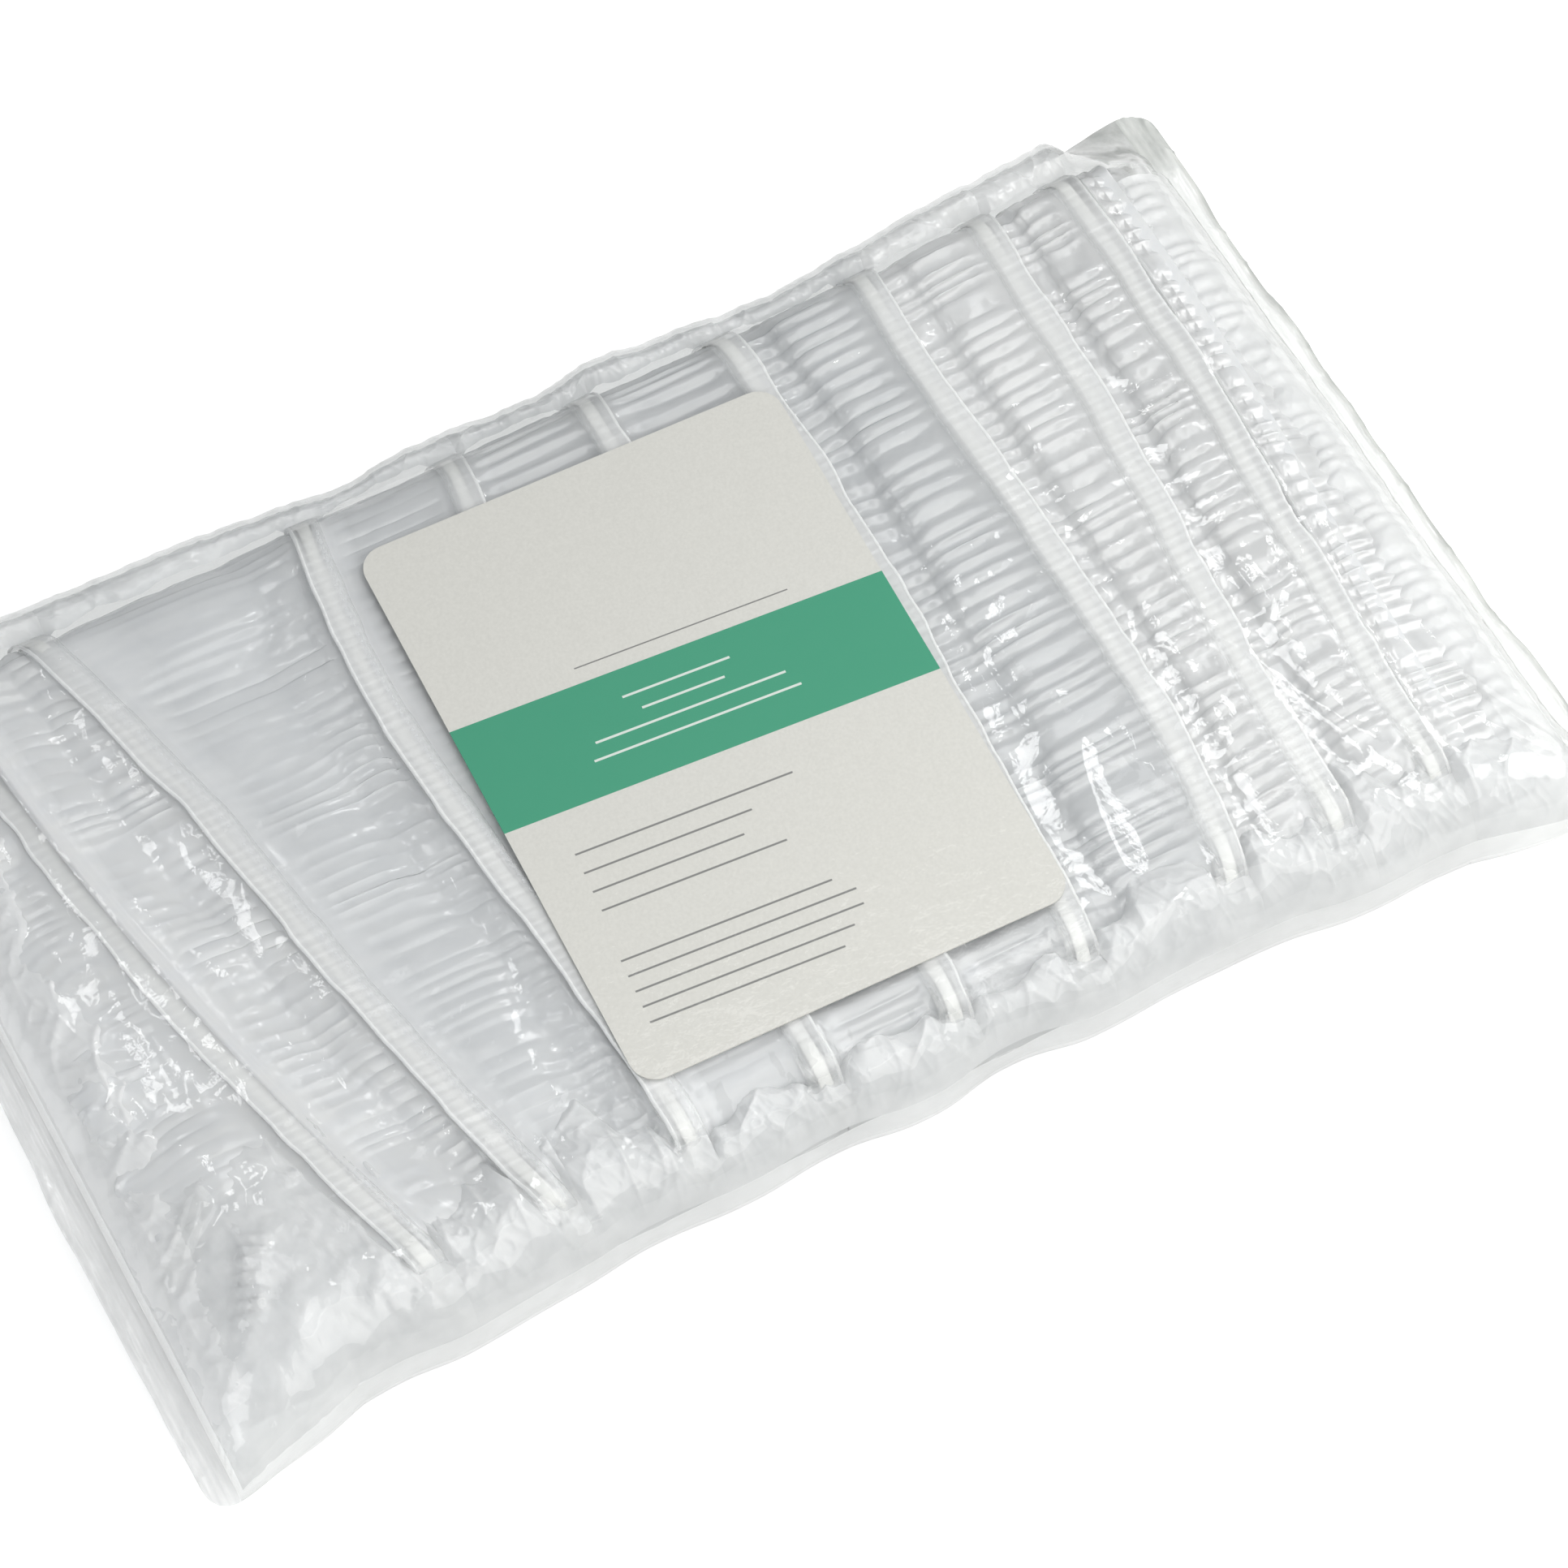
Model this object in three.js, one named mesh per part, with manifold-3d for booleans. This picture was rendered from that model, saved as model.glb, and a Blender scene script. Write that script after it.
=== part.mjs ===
// A sealed retail pack of shower caps. A clear pillow bag holds a row of caps pressed flat into strips.
// Each cap is a gathered film pouch with a folded hem round its mouth and an elastic loop in the hem.
// An insert card lies on the caps under the film.
// Millimetres, +Z up. X runs along the bag, Y along the caps, and the bag lies on Z = 0.
import * as THREE from "three";
import Module from "manifold-3d";

// Caps, from left to right. Share is a strip's part of the row. Lean, bow and wave bend its rim, as shares
// of half a cap's length: how far the rim's ends shift to either side, how far both ends shift together,
// and its S-curve.
const ROW_LENGTH = 332;
const CAPS = [
  { share: 33, lean: -0.2, bow: 0.06, wave: 0 },
  { share: 33, lean: -0.23, bow: 0, wave: 0.02 },
  { share: 44, lean: -0.02, bow: 0.06, wave: -0.03 },
  { share: 37, lean: 0, bow: 0.03, wave: -0.02 },
  { share: 37, lean: 0.01, bow: -0.01, wave: 0 },
  { share: 36, lean: 0.03, bow: -0.04, wave: 0.01 },
  { share: 38, lean: 0.03, bow: -0.04, wave: -0.02 },
  { share: 27, lean: 0.05, bow: -0.01, wave: 0.01 },
  { share: 25, lean: 0.04, bow: -0.02, wave: 0.01 },
  { share: 22, lean: 0, bow: 0, wave: 0 },
];
const CAP_LENGTH = 192; // a cap pressed flat, across the bag
const CAP_HEIGHT = 33; // from the back film to the top of the rim
const CAP_GAP = 0.8; // between neighbouring caps
const RUFFLES = 14; // gathers along one cap
const RUFFLE_DEPTH = 2.4;
const MOUTH_OPENING = 2; // slit between the two lips of a cap pressed flat
const MOUTH_END = 20; // the slit stops this far from a cap's ends

// Section of one strip, in shares of its width and height: its foot, its folded nose, a ledge beside the
// rim before it, and the fold where its long ruffles start. The last number is the share of the ruffle
// depth that shows there.
const FOOT = { left: 0.08, right: 0.94 };
const NOSE_UP = 0.28;
const LEDGE = [
  { across: 0.03, up: 0.66, ruffle: 0.5 },
  { across: 0.24, up: 0.74, ruffle: 0.6 },
  { across: 0.36, up: 0.88, ruffle: 1 },
];
const POUCH_ACROSS = 0.32; // the slit reaches in to this share of the width

// Elastic loop and the hem folded over it
const ELASTIC_WIDTH = 3;
const ELASTIC_THICKNESS = 1;
const ELASTIC_GAP = 0.4; // free play inside the fold
const HEM_WIDTH = 7;
const HEM_SKIN = 0.7; // the layers of film in one wall of the fold
const HEM_SPREAD = 6.4; // between the middles of the two runs of the loop
const HEM_END = 9; // the runs turn back this far from a cap's ends
const HEM_GAP = 0.5; // between the hem and the film that carries it

// Insert card
const CARD_WIDTH = 105;
const CARD_HEIGHT = 148;
const CARD_THICKNESS = 0.4;
const CARD_CORNER = 6;
const CARD_TURN = -1.9; // degrees, as it slipped in the pack
const CARD_X = -2;
const CARD_Y = -2.5;

// Bag
const FILM = 0.4;
const CLEARANCE = 0.3; // between pieces that touch
const SIDE_ROOM = 4; // from the caps' ends to the folded side of the bag
const END_ROOM = 4; // from the row's ends to the seals
const END_ROUND = 32; // stretch over which the filled bag falls to a seal
const WALL_ROOM = 1; // extra room where the film slopes
const SEAL_WIDTH = 8;
const SEAL_CORNER = 3;
const SEAL_HEIGHT = 13; // of the seals and the folded sides above the table
const EAR_FLARE = 9; // the flat ends stand out this far past the filled sides
const FLARE_LENGTH = 58;
const FILM_DIP = 3; // how far the front film sinks beside a rim
const DRAPE = [
  // shares of a strip's width, and of the dip
  { across: 0, sink: 0 },
  { across: 0.2, sink: 1 },
  { across: 0.5, sink: 0 },
];
const CARD_TENT = 30; // the card holds the film up this far past its long sides

// Facets
const RUN_STEPS = 6; // along the flat part of a hem
const TURN_STEPS = 2; // round each end of a hem
const ROUND_STEPS = 5; // round each side and end of the bag
const FLAT_STEPS = 4; // across the flat part of the bag, and along the flat part of its back
const END_STEPS = 7; // from a seal to the nearest rim, along the front film
const MOUTH_STEPS = 4;

// Worked out from the driving dimensions
const capHalf = CAP_LENGTH / 2;
const capShares = CAPS.reduce((sum, cap) => sum + cap.share, 0);
const hemThickness = ELASTIC_THICKNESS + 2 * (ELASTIC_GAP + HEM_SKIN);
const hemStack = hemThickness + HEM_SPREAD;
const cardSpace = CLEARANCE + CARD_THICKNESS + CLEARANCE;
const packHeight = FILM + CLEARANCE + CAP_HEIGHT + cardSpace + FILM;
const sealX = ROW_LENGTH / 2 + END_ROOM;
const sideHalf = capHalf + SIDE_ROOM;
const cardTurn = THREE.MathUtils.degToRad(CARD_TURN);
const cardReach =
  (CARD_HEIGHT * Math.cos(cardTurn) + CARD_WIDTH * Math.abs(Math.sin(cardTurn))) / 2 + Math.abs(CARD_Y);
const cardSide = (CARD_WIDTH * Math.cos(cardTurn) + CARD_HEIGHT * Math.abs(Math.sin(cardTurn))) / 2;
const sideRound = sideHalf - cardReach; // the card keeps the middle of the pack flat
const frontRise = packHeight - FILM - SEAL_HEIGHT - CLEARANCE / 2;
const backDrop = SEAL_HEIGHT - CLEARANCE / 2 - FILM;

const wasm = await Module();
wasm.setup();

// Materials
const bagFilm = new THREE.MeshStandardMaterial({
  color: 0xeef2f3,
  roughness: 0.12,
  metalness: 0,
  transparent: true,
  opacity: 0.3,
});
const capFilm = new THREE.MeshStandardMaterial({ color: 0xd9dde0, roughness: 0.25, metalness: 0 });
const hemFilm = new THREE.MeshStandardMaterial({ color: 0xe6e8e8, roughness: 0.45, metalness: 0 });
const elastic = new THREE.MeshStandardMaterial({ color: 0xf2f2ef, roughness: 0.8, metalness: 0 });
const cardPaper = new THREE.MeshStandardMaterial({ color: 0xd3d0ca, roughness: 0.6, metalness: 0 });

// One on the flat part, falling along a quarter ellipse to nought at the edge
function roundedFall(distance, edge, round) {
  const past = THREE.MathUtils.clamp((Math.abs(distance) - (edge - round)) / round, 0, 1);
  return Math.sqrt(1 - past * past);
}

// Half the bag's width, which flares to flat ears at the sealed ends
function halfWidth(x) {
  return sideHalf + EAR_FLARE * THREE.MathUtils.smoothstep(Math.abs(x), sealX - FLARE_LENGTH, sealX);
}

function fill(x, y) {
  return roundedFall(x, sealX, END_ROUND) * roundedFall(y, halfWidth(x), sideRound);
}

// Inner faces of the front and back film
const roof = (x, y) => SEAL_HEIGHT + CLEARANCE / 2 + frontRise * fill(x, y);
const floor = (x, y) => SEAL_HEIGHT - CLEARANCE / 2 - backDrop * fill(x, y);

// Highest and lowest place for a cap, a little further in where the film slopes
const inward = (v) => v + Math.sign(v) * WALL_ROOM;
const capTop = (x, y) => roof(inward(x), inward(y)) - cardSpace;
const capBottom = (x, y) => floor(inward(x), inward(y)) + CLEARANCE;

// A closed surface from points and triangles, turned so that its faces point out
function closedSolid(points, triangles) {
  const corners = triangles.map((t) => t.map((i) => new THREE.Vector3(...points[i])));
  const volume = corners.reduce((sum, [a, b, c]) => sum + a.dot(b.clone().cross(c)), 0);
  const facing = volume > 0 ? triangles : triangles.map(([a, b, c]) => [a, c, b]);
  return { points: new Float32Array(points.flat()), triangles: new Uint32Array(facing.flat()) };
}

function toGeometry(solid) {
  const geometry = new THREE.BufferGeometry();
  geometry.setAttribute("position", new THREE.BufferAttribute(solid.points, 3));
  geometry.setIndex(new THREE.BufferAttribute(solid.triangles, 1));
  return geometry;
}

const toManifold = (solid) =>
  new wasm.Manifold(new wasm.Mesh({ numProp: 3, vertProperties: solid.points, triVerts: solid.triangles }));

function fromManifold(manifold) {
  const mesh = manifold.getMesh();
  return toGeometry({ points: mesh.vertProperties, triangles: mesh.triVerts });
}

// Skin over a row of sections with the same number of points, either a closed loop or with flat ends
function loft(sections, isLoop) {
  const count = sections[0].length;
  const triangles = [];
  const spans = isLoop ? sections.length : sections.length - 1;
  for (let i = 0; i < spans; i++) {
    const here = i * count;
    const next = ((i + 1) % sections.length) * count;
    for (let j = 0; j < count; j++) {
      const k = (j + 1) % count;
      triangles.push([here + j, here + k, next + k], [here + j, next + k, next + j]);
    }
  }
  if (!isLoop) {
    const last = (sections.length - 1) * count;
    const flat = (section) =>
      THREE.ShapeUtils.triangulateShape(section.map(([x, , z]) => new THREE.Vector2(x, z)), []);
    flat(sections[0]).forEach((t) => triangles.push(orderedLike(sections[0], t, true)));
    flat(sections.at(-1)).forEach((t) =>
      triangles.push(orderedLike(sections.at(-1), t, false).map((i) => last + i)),
    );
  }
  return closedSolid(sections.flat(), triangles);
}

// An end triangle wound with its section's own outline, or against it
function orderedLike(section, triangle, reversed) {
  const turn = (list) =>
    list.reduce((sum, p, i) => {
      const q = list[(i + 1) % list.length];
      return sum + p[0] * q[2] - q[0] * p[2];
    }, 0);
  const same = Math.sign(turn(section)) === Math.sign(turn(triangle.map((i) => section[i])));
  const [a, b, c] = triangle;
  return same === reversed ? [a, c, b] : [a, b, c];
}

// A thin sheet between two grids of points of the same size
function sheet(outer, inner) {
  const rows = outer.length;
  const columns = outer[0].length;
  const at = (side, i, j) => (side * rows + i) * columns + j;
  const triangles = [];
  const quad = (a, b, c, d) => triangles.push([a, b, c], [a, c, d]);
  for (let i = 0; i + 1 < rows; i++) {
    for (let j = 0; j + 1 < columns; j++) {
      quad(at(0, i, j), at(0, i + 1, j), at(0, i + 1, j + 1), at(0, i, j + 1));
      quad(at(1, i, j), at(1, i, j + 1), at(1, i + 1, j + 1), at(1, i + 1, j));
    }
  }
  for (let i = 0; i + 1 < rows; i++) {
    quad(at(0, i, 0), at(1, i, 0), at(1, i + 1, 0), at(0, i + 1, 0));
    const j = columns - 1;
    quad(at(0, i, j), at(0, i + 1, j), at(1, i + 1, j), at(1, i, j));
  }
  for (let j = 0; j + 1 < columns; j++) {
    quad(at(0, 0, j), at(0, 0, j + 1), at(1, 0, j + 1), at(1, 0, j));
    const i = rows - 1;
    quad(at(0, i, j), at(1, i, j), at(1, i, j + 1), at(0, i, j + 1));
  }
  return closedSolid([...outer.flat(), ...inner.flat()], triangles);
}

function roundedRectangle(width, height, corner) {
  const [w, h] = [width / 2, height / 2];
  const shape = new THREE.Shape();
  shape.absarc(w - corner, h - corner, corner, 0, Math.PI / 2);
  shape.absarc(corner - w, h - corner, corner, Math.PI / 2, Math.PI);
  shape.absarc(corner - w, corner - h, corner, Math.PI, 1.5 * Math.PI);
  shape.absarc(w - corner, corner - h, corner, 1.5 * Math.PI, 2 * Math.PI);
  return shape;
}

function plate(width, height, corner, thickness) {
  return new THREE.ExtrudeGeometry(roundedRectangle(width, height, corner), {
    depth: thickness,
    bevelEnabled: false,
    curveSegments: 4,
  });
}

function named(name, geometry, material) {
  const mesh = new THREE.Mesh(geometry, material);
  mesh.name = name;
  return mesh;
}

// The line where strip number k ends, at the place y along the caps. Line 0 is the row's left end.
function stripLine(k, y) {
  const passed = CAPS.slice(0, k).reduce((sum, cap) => sum + cap.share, 0);
  const reach = ROW_LENGTH * (passed / capShares - 0.5);
  if (k === 0) return reach;
  const { lean, bow, wave } = CAPS[k - 1];
  const s = y / capHalf;
  return reach + capHalf * (lean * s + bow * s * s + wave * Math.sin(Math.PI * s));
}

// Left side, right side and top of strip number k at the place y
function stripFrame(k, y) {
  const left = stripLine(k, y) + CAP_GAP / 2;
  const right = stripLine(k + 1, y) - CAP_GAP / 2;
  const top = Math.min(capTop(right, y), capTop(left + (right - left) / 2, y));
  return { left, right, width: right - left, top };
}

// One section across a gathered cap: a folded nose and a ledge on the left, long ruffles up to the mouth,
// and a step on the right that carries the hem. Every second section is a valley between two ruffles.
function capSection(k, y, depth) {
  const { left, right, width, top } = stripFrame(k, y);
  const mouth = right - HEM_WIDTH - HEM_GAP;
  const step = top - hemStack - HEM_GAP;
  const at = (across, up) => {
    const x = left + across * width;
    const bottom = capBottom(x, y);
    return [x, y, bottom + up * (top - bottom)];
  };
  const sunk = ([x, , z], share) => [x, y, z - share * depth];
  const nose = at(0, NOSE_UP);
  return [
    at(FOOT.left, 0),
    [nose[0] + depth / 2, y, nose[2]],
    ...LEDGE.map(({ across, up, ruffle }) => sunk(at(across, up), ruffle)),
    sunk([mouth, y, top - HEM_GAP], 1),
    [mouth, y, step],
    [right, y, step],
    at(FOOT.right, 0),
  ];
}

// The slit into the pouch, between the lips that the two runs of the hem hold
function mouthSection(k, y) {
  const { left, right, width, top } = stripFrame(k, y);
  const mouth = right - HEM_WIDTH / 2;
  const deep = left + POUCH_ACROSS * width;
  const lip = top - hemStack / 2;
  const fold = (capBottom(deep, y) + top) / 2;
  return [
    [mouth, y, lip + MOUTH_OPENING / 2],
    [deep, y, fold + MOUTH_OPENING / 4],
    [deep, y, fold - MOUTH_OPENING / 4],
    [mouth, y, lip - MOUTH_OPENING / 2],
  ];
}

function evenly(from, to, steps) {
  return Array.from({ length: steps + 1 }, (_, i) => from + ((to - from) * i) / steps);
}

function capFilmGeometry(k) {
  const body = loft(
    evenly(-capHalf, capHalf, 2 * RUFFLES).map((y, i) =>
      capSection(k, y, (i + k) % 2 ? RUFFLE_DEPTH : 0),
    ),
    false,
  );
  const slitHalf = capHalf - MOUTH_END;
  const slit = loft(
    evenly(-slitHalf, slitHalf, MOUTH_STEPS).map((y) => mouthSection(k, y)),
    false,
  );
  return fromManifold(toManifold(body).subtract(toManifold(slit)));
}

// The closed line that the hem and its elastic follow: a run on top, a run below, and a turn at each end
function rimLoop(k) {
  const end = capHalf - HEM_END;
  const flat = sideHalf - sideRound - WALL_ROOM;
  const slope = (end + flat) / 2;
  const stations = [-end, -slope, ...evenly(-flat, flat, RUN_STEPS), slope, end];
  const middle = (y) => stripFrame(k, y).top - hemStack / 2;
  const radius = HEM_SPREAD / 2;
  const upper = stations.map((y) => [y, middle(y) + radius]);
  const lower = stations.toReversed().map((y) => [y, middle(y) - radius]);
  const turn = (side) =>
    evenly(0, Math.PI, TURN_STEPS + 1)
      .slice(1, -1)
      .map((a) => [side * (end + radius * Math.sin(a)), middle(end) + side * radius * Math.cos(a)]);
  return [...upper, ...turn(1), ...lower, ...turn(-1)];
}

// A section swept round the rim: first number across the hem, second number outwards from the loop
function sweepRim(k, section) {
  const line = rimLoop(k);
  const rings = line.map(([y, z], i) => {
    const before = line.at(i - 1);
    const after = line[(i + 1) % line.length];
    const along = new THREE.Vector2(after[0] - before[0], after[1] - before[1]).normalize();
    const centre = stripFrame(k, THREE.MathUtils.clamp(y, -capHalf, capHalf)).right - HEM_WIDTH / 2;
    return section.map(([across, out]) => [centre + across, y - out * along.y, z + out * along.x]);
  });
  return toGeometry(loft(rings, true));
}

// The folded film edge, open towards the cap
function hemSection() {
  const half = HEM_WIDTH / 2;
  const out = hemThickness / 2;
  const slot = out - HEM_SKIN;
  const bend = half - out / 2;
  return [
    [-half, out],
    [bend, out],
    [half, 0],
    [bend, -out],
    [-half, -out],
    [-half, -slot],
    [bend - HEM_SKIN, -slot],
    [bend - HEM_SKIN, slot],
    [-half, slot],
  ];
}

function elasticSection() {
  const right = HEM_WIDTH / 2 - hemThickness / 4 - HEM_SKIN - ELASTIC_GAP;
  const left = right - ELASTIC_WIDTH;
  const out = ELASTIC_THICKNESS / 2;
  return [
    [left, out],
    [right, out],
    [right, -out],
    [left, -out],
  ];
}

function makeCap(k) {
  const label = "cap_" + String(k + 1).padStart(2, "0");
  const cap = new THREE.Group();
  cap.add(named(label + "_film", capFilmGeometry(k), capFilm));
  cap.add(named(label + "_hem", sweepRim(k, hemSection()), hemFilm));
  cap.add(named(label + "_elastic", sweepRim(k, elasticSection()), elastic));
  return cap;
}

function makeCard() {
  const card = named(
    "insert_card",
    plate(CARD_WIDTH, CARD_HEIGHT, CARD_CORNER, CARD_THICKNESS),
    cardPaper,
  );
  card.position.set(CARD_X, CARD_Y, packHeight - FILM - CLEARANCE - CARD_THICKNESS);
  card.rotation.z = cardTurn;
  return card;
}

// Where the bag's film has points: close together where it bends, and a few on the flat
function bagStations(edge, round) {
  const bend = evenly(0, Math.PI / 2, ROUND_STEPS).map((a) => edge - round + round * Math.sin(a));
  const flat = evenly(round - edge, edge - round, FLAT_STEPS).slice(1, -1);
  return [...bend.toReversed().map((v) => -v), ...flat, ...bend];
}

// Places along the front film at y: crowded towards the seals, and at the dips of the strips between
function drapeStations(y) {
  const crowd = evenly(0, Math.PI / 2, END_STEPS).map((a) => 1 - Math.cos(a));
  const first = stripLine(1, y);
  const last = stripLine(CAPS.length - 1, y);
  const left = crowd.slice(0, -1).map((share) => share * (first + sealX) - sealX);
  const right = crowd.toReversed().map((share) => sealX - share * (sealX - last));
  const strips = CAPS.slice(1, -1).flatMap((_, i) => {
    const start = stripLine(i + 1, y);
    const width = stripLine(i + 2, y) - start;
    return DRAPE.map(({ across }) => start + across * width);
  });
  return [...left, ...strips, ...right];
}

// How far the front film sinks at a place, away from the card and the bag's slopes
function dip(x, y) {
  const k = CAPS.findIndex((_, i) => x < stripLine(i + 1, y));
  if (k < 1 || k === CAPS.length - 1) return 0;
  const start = stripLine(k, y);
  const across = (x - start) / (stripLine(k + 1, y) - start);
  const [rim, low, rise] = DRAPE;
  const down = THREE.MathUtils.clamp((across - rim.across) / (low.across - rim.across), 0, 1);
  const up = THREE.MathUtils.clamp((across - low.across) / (rise.across - low.across), 0, 1);
  const tent = THREE.MathUtils.smoothstep(Math.abs(x - CARD_X), cardSide, cardSide + CARD_TENT);
  return FILM_DIP * (down - up) * tent * fill(x, y);
}

// One panel of the tube. Its outer face is one film thickness outside the face that holds the caps.
function panel(innerHeight, outwards, stationsAlong) {
  const columns = bagStations(sideHalf, sideRound);
  const rows = stationsAlong(0).map((_, i) =>
    columns.map((column, j) => {
      const x = stationsAlong(column)[i];
      return { x, y: bagStations(halfWidth(x), sideRound)[j] };
    }),
  );
  const grids = [FILM, 0].map((skin) =>
    rows.map((row) =>
      row.map(({ x, y }) => {
        const drawnIn = (y / halfWidth(x)) * (FILM - skin);
        return [x, y - drawnIn, innerHeight(x, y) + outwards * skin];
      }),
    ),
  );
  return toGeometry(sheet(...grids));
}

function makeSeal(name, side) {
  const thickness = 2 * FILM + CLEARANCE;
  const seal = named(name, plate(SEAL_WIDTH, 2 * halfWidth(sealX), SEAL_CORNER, thickness), bagFilm);
  const middle = sealX + CLEARANCE + SEAL_WIDTH / 2;
  seal.position.set(side * middle, 0, SEAL_HEIGHT - thickness / 2);
  return seal;
}

function makeBag() {
  const bag = new THREE.Group();
  const draped = (x, y) => roof(x, y) - dip(x, y);
  const evenAlong = () => bagStations(sealX, END_ROUND);
  bag.add(named("bag_front_film", panel(draped, 1, drapeStations), bagFilm));
  bag.add(named("bag_back_film", panel(floor, -1, evenAlong), bagFilm));
  bag.add(makeSeal("bag_left_seal", -1));
  bag.add(makeSeal("bag_right_seal", 1));
  return bag;
}

const pack = new THREE.Group();
pack.add(makeBag());
pack.add(makeCard());
CAPS.forEach((_, k) => pack.add(makeCap(k)));

export default pack;
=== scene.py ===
"""The looks of a sealed pack of shower caps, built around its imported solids.

Metres, +Z up. X runs along the bag, Y along the caps, and the bag lies on Z = 0.
"""

import math

import bpy
import numpy as np
from mathutils import Matrix, Vector


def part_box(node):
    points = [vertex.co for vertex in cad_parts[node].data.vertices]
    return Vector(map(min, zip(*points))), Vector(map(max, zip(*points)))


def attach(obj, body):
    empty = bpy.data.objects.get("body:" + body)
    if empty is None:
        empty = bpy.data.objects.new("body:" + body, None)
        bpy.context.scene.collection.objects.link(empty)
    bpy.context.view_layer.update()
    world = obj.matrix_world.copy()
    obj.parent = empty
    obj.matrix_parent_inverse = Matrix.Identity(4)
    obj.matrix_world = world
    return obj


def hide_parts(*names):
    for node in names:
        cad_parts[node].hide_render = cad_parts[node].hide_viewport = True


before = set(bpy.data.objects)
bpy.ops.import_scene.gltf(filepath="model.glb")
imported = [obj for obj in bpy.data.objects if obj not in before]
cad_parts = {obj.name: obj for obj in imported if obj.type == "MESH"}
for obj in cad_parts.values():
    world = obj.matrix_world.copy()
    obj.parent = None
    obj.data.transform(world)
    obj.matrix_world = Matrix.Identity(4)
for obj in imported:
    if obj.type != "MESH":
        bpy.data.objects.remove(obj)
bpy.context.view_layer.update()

MM = 0.001
TURN = 2 * math.pi
CAP_NUMBERS = range(1, 11)

# Camera at the photograph's viewing angle
CAMERA_AZIMUTH = math.radians(-29.81)
CAMERA_ELEVATION = math.radians(61.06)
CAMERA_ROLL = math.radians(1.29)
CAMERA_TARGET = Vector((0.0092, -0.0173, 0.020))
CAMERA_DISTANCE = 1.1232
CAMERA_LENS = 115.31
CAMERA_SENSOR = 36.0

# Studio light
WORLD_COLOUR = (0.96, 0.98, 1.0, 1)
WORLD_LIGHT = 0.36
FLOOR_LIFT = 0.45  # glow that the camera, gloss and glass see
FLOOR_COLOUR = (0.9, 0.9, 0.9, 1)
FLOOR_HALF = 10.0
LIGHT_TARGET = Vector((0, 0, 0.02))
CLEAR_LAYERS = 32  # clear surfaces that a ray may pass
LIGHTS = (
    # name, place, size, power, colour
    ("key", (0.03, -0.45, 0.50), (0.5, 0.5), 1.9, (1.0, 0.985, 0.96)),
    ("right fill", (0.60, -0.15, 0.40), (0.4, 0.4), 2.4, (1.0, 0.99, 0.97)),
    ("left fill", (-0.65, -0.20, 0.32), (0.3, 0.3), 0.95, (1.0, 1.0, 1.0)),
    ("overhead", (0.29, -0.06, 1.16), (0.9, 0.45), 2.7, (1.0, 1.0, 1.0)),
    ("spark", (0.62, 0.32, 0.93), (0.16, 0.16), 1.0, (1.0, 1.0, 1.0)),
    ("left spark", (-0.20, 0.42, 0.93), (0.10, 0.10), 0.32, (1.0, 1.0, 1.0)),
)

# Gathered film of a cap
RUFFLE_DEPTH = 2.3 * MM
RUFFLE_PITCHES = (3.7 * MM, 4.5 * MM)  # at the left and right end of the row
RUFFLE_DRIFT = (0.6, 9 * MM)  # unevenness of the ruffles' steps, in turns, and its pitch
RUFFLE_SHARE = 0.60  # share of the depth in most strips
RUFFLE_SHARES = {1: 0.18, 2: 0.14, 3: 0.10, 4: 0.14}  # strips with flatter ruffles
RUFFLE_PATCH = 0.3  # how much they come and go in most strips
RUFFLE_PATCHES = {1: 0.9, 2: 0.8, 3: 0.8}  # strips where they come and go more
RUFFLE_SWELL = 0.8  # middle of that coming and going
RUFFLE_SWELLS = (0.08, 1.4)  # its least and its most
STRIP_SWAY = (0.05, 26 * MM)  # waver of a strip's folds, as a share of its width, and its pitch
SADDLE_SWAY = (0.10, 26 * MM)  # the same for a strip with a soft crease
STRIP_WAVES = {
    # height, pitch along the strip, bumps round its section, seed
    "drift": (0.5, 14 * MM, 6, 20),
    "swell": (1.0, 7 * MM, 8, 40),
    "crinkle": (0.18 * MM, 2.6 * MM, 40, 60),
    "sag": (1.4 * MM, 15 * MM, 5, 70),
    "shift": (0.2, 11 * MM, 2, 80),
    "lumps": (1.5 * MM, 6 * MM, 9, 90),
}
UPPER_SIDE = (0.6, 0.8)  # shares of a strip's height where its upper side starts
ROOF_MARGIN = 1.01  # how much further out the roof is read, to stay clear of it
FLOOR_GAP = 0.6 * MM  # between a strip and the bag's back
STRIP_GAP = 0.8 * MM  # between a hem and the next strip
END_PINCH = 18 * MM  # stretch over which a strip's near end closes flat
FAR_PINCH = 11 * MM  # the same for its far end
HEM_PINCH = 10 * MM  # the same for a hem
FILM_LAYERS = (
    # inset, share of the ruffle depth, rows, columns, seed
    (0.0 * MM, 1.0, 430, 70, 0),
    (3.6 * MM, 0.9, 300, 50, 300),
    (7.5 * MM, 0.7, 220, 40, 600),
)

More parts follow.
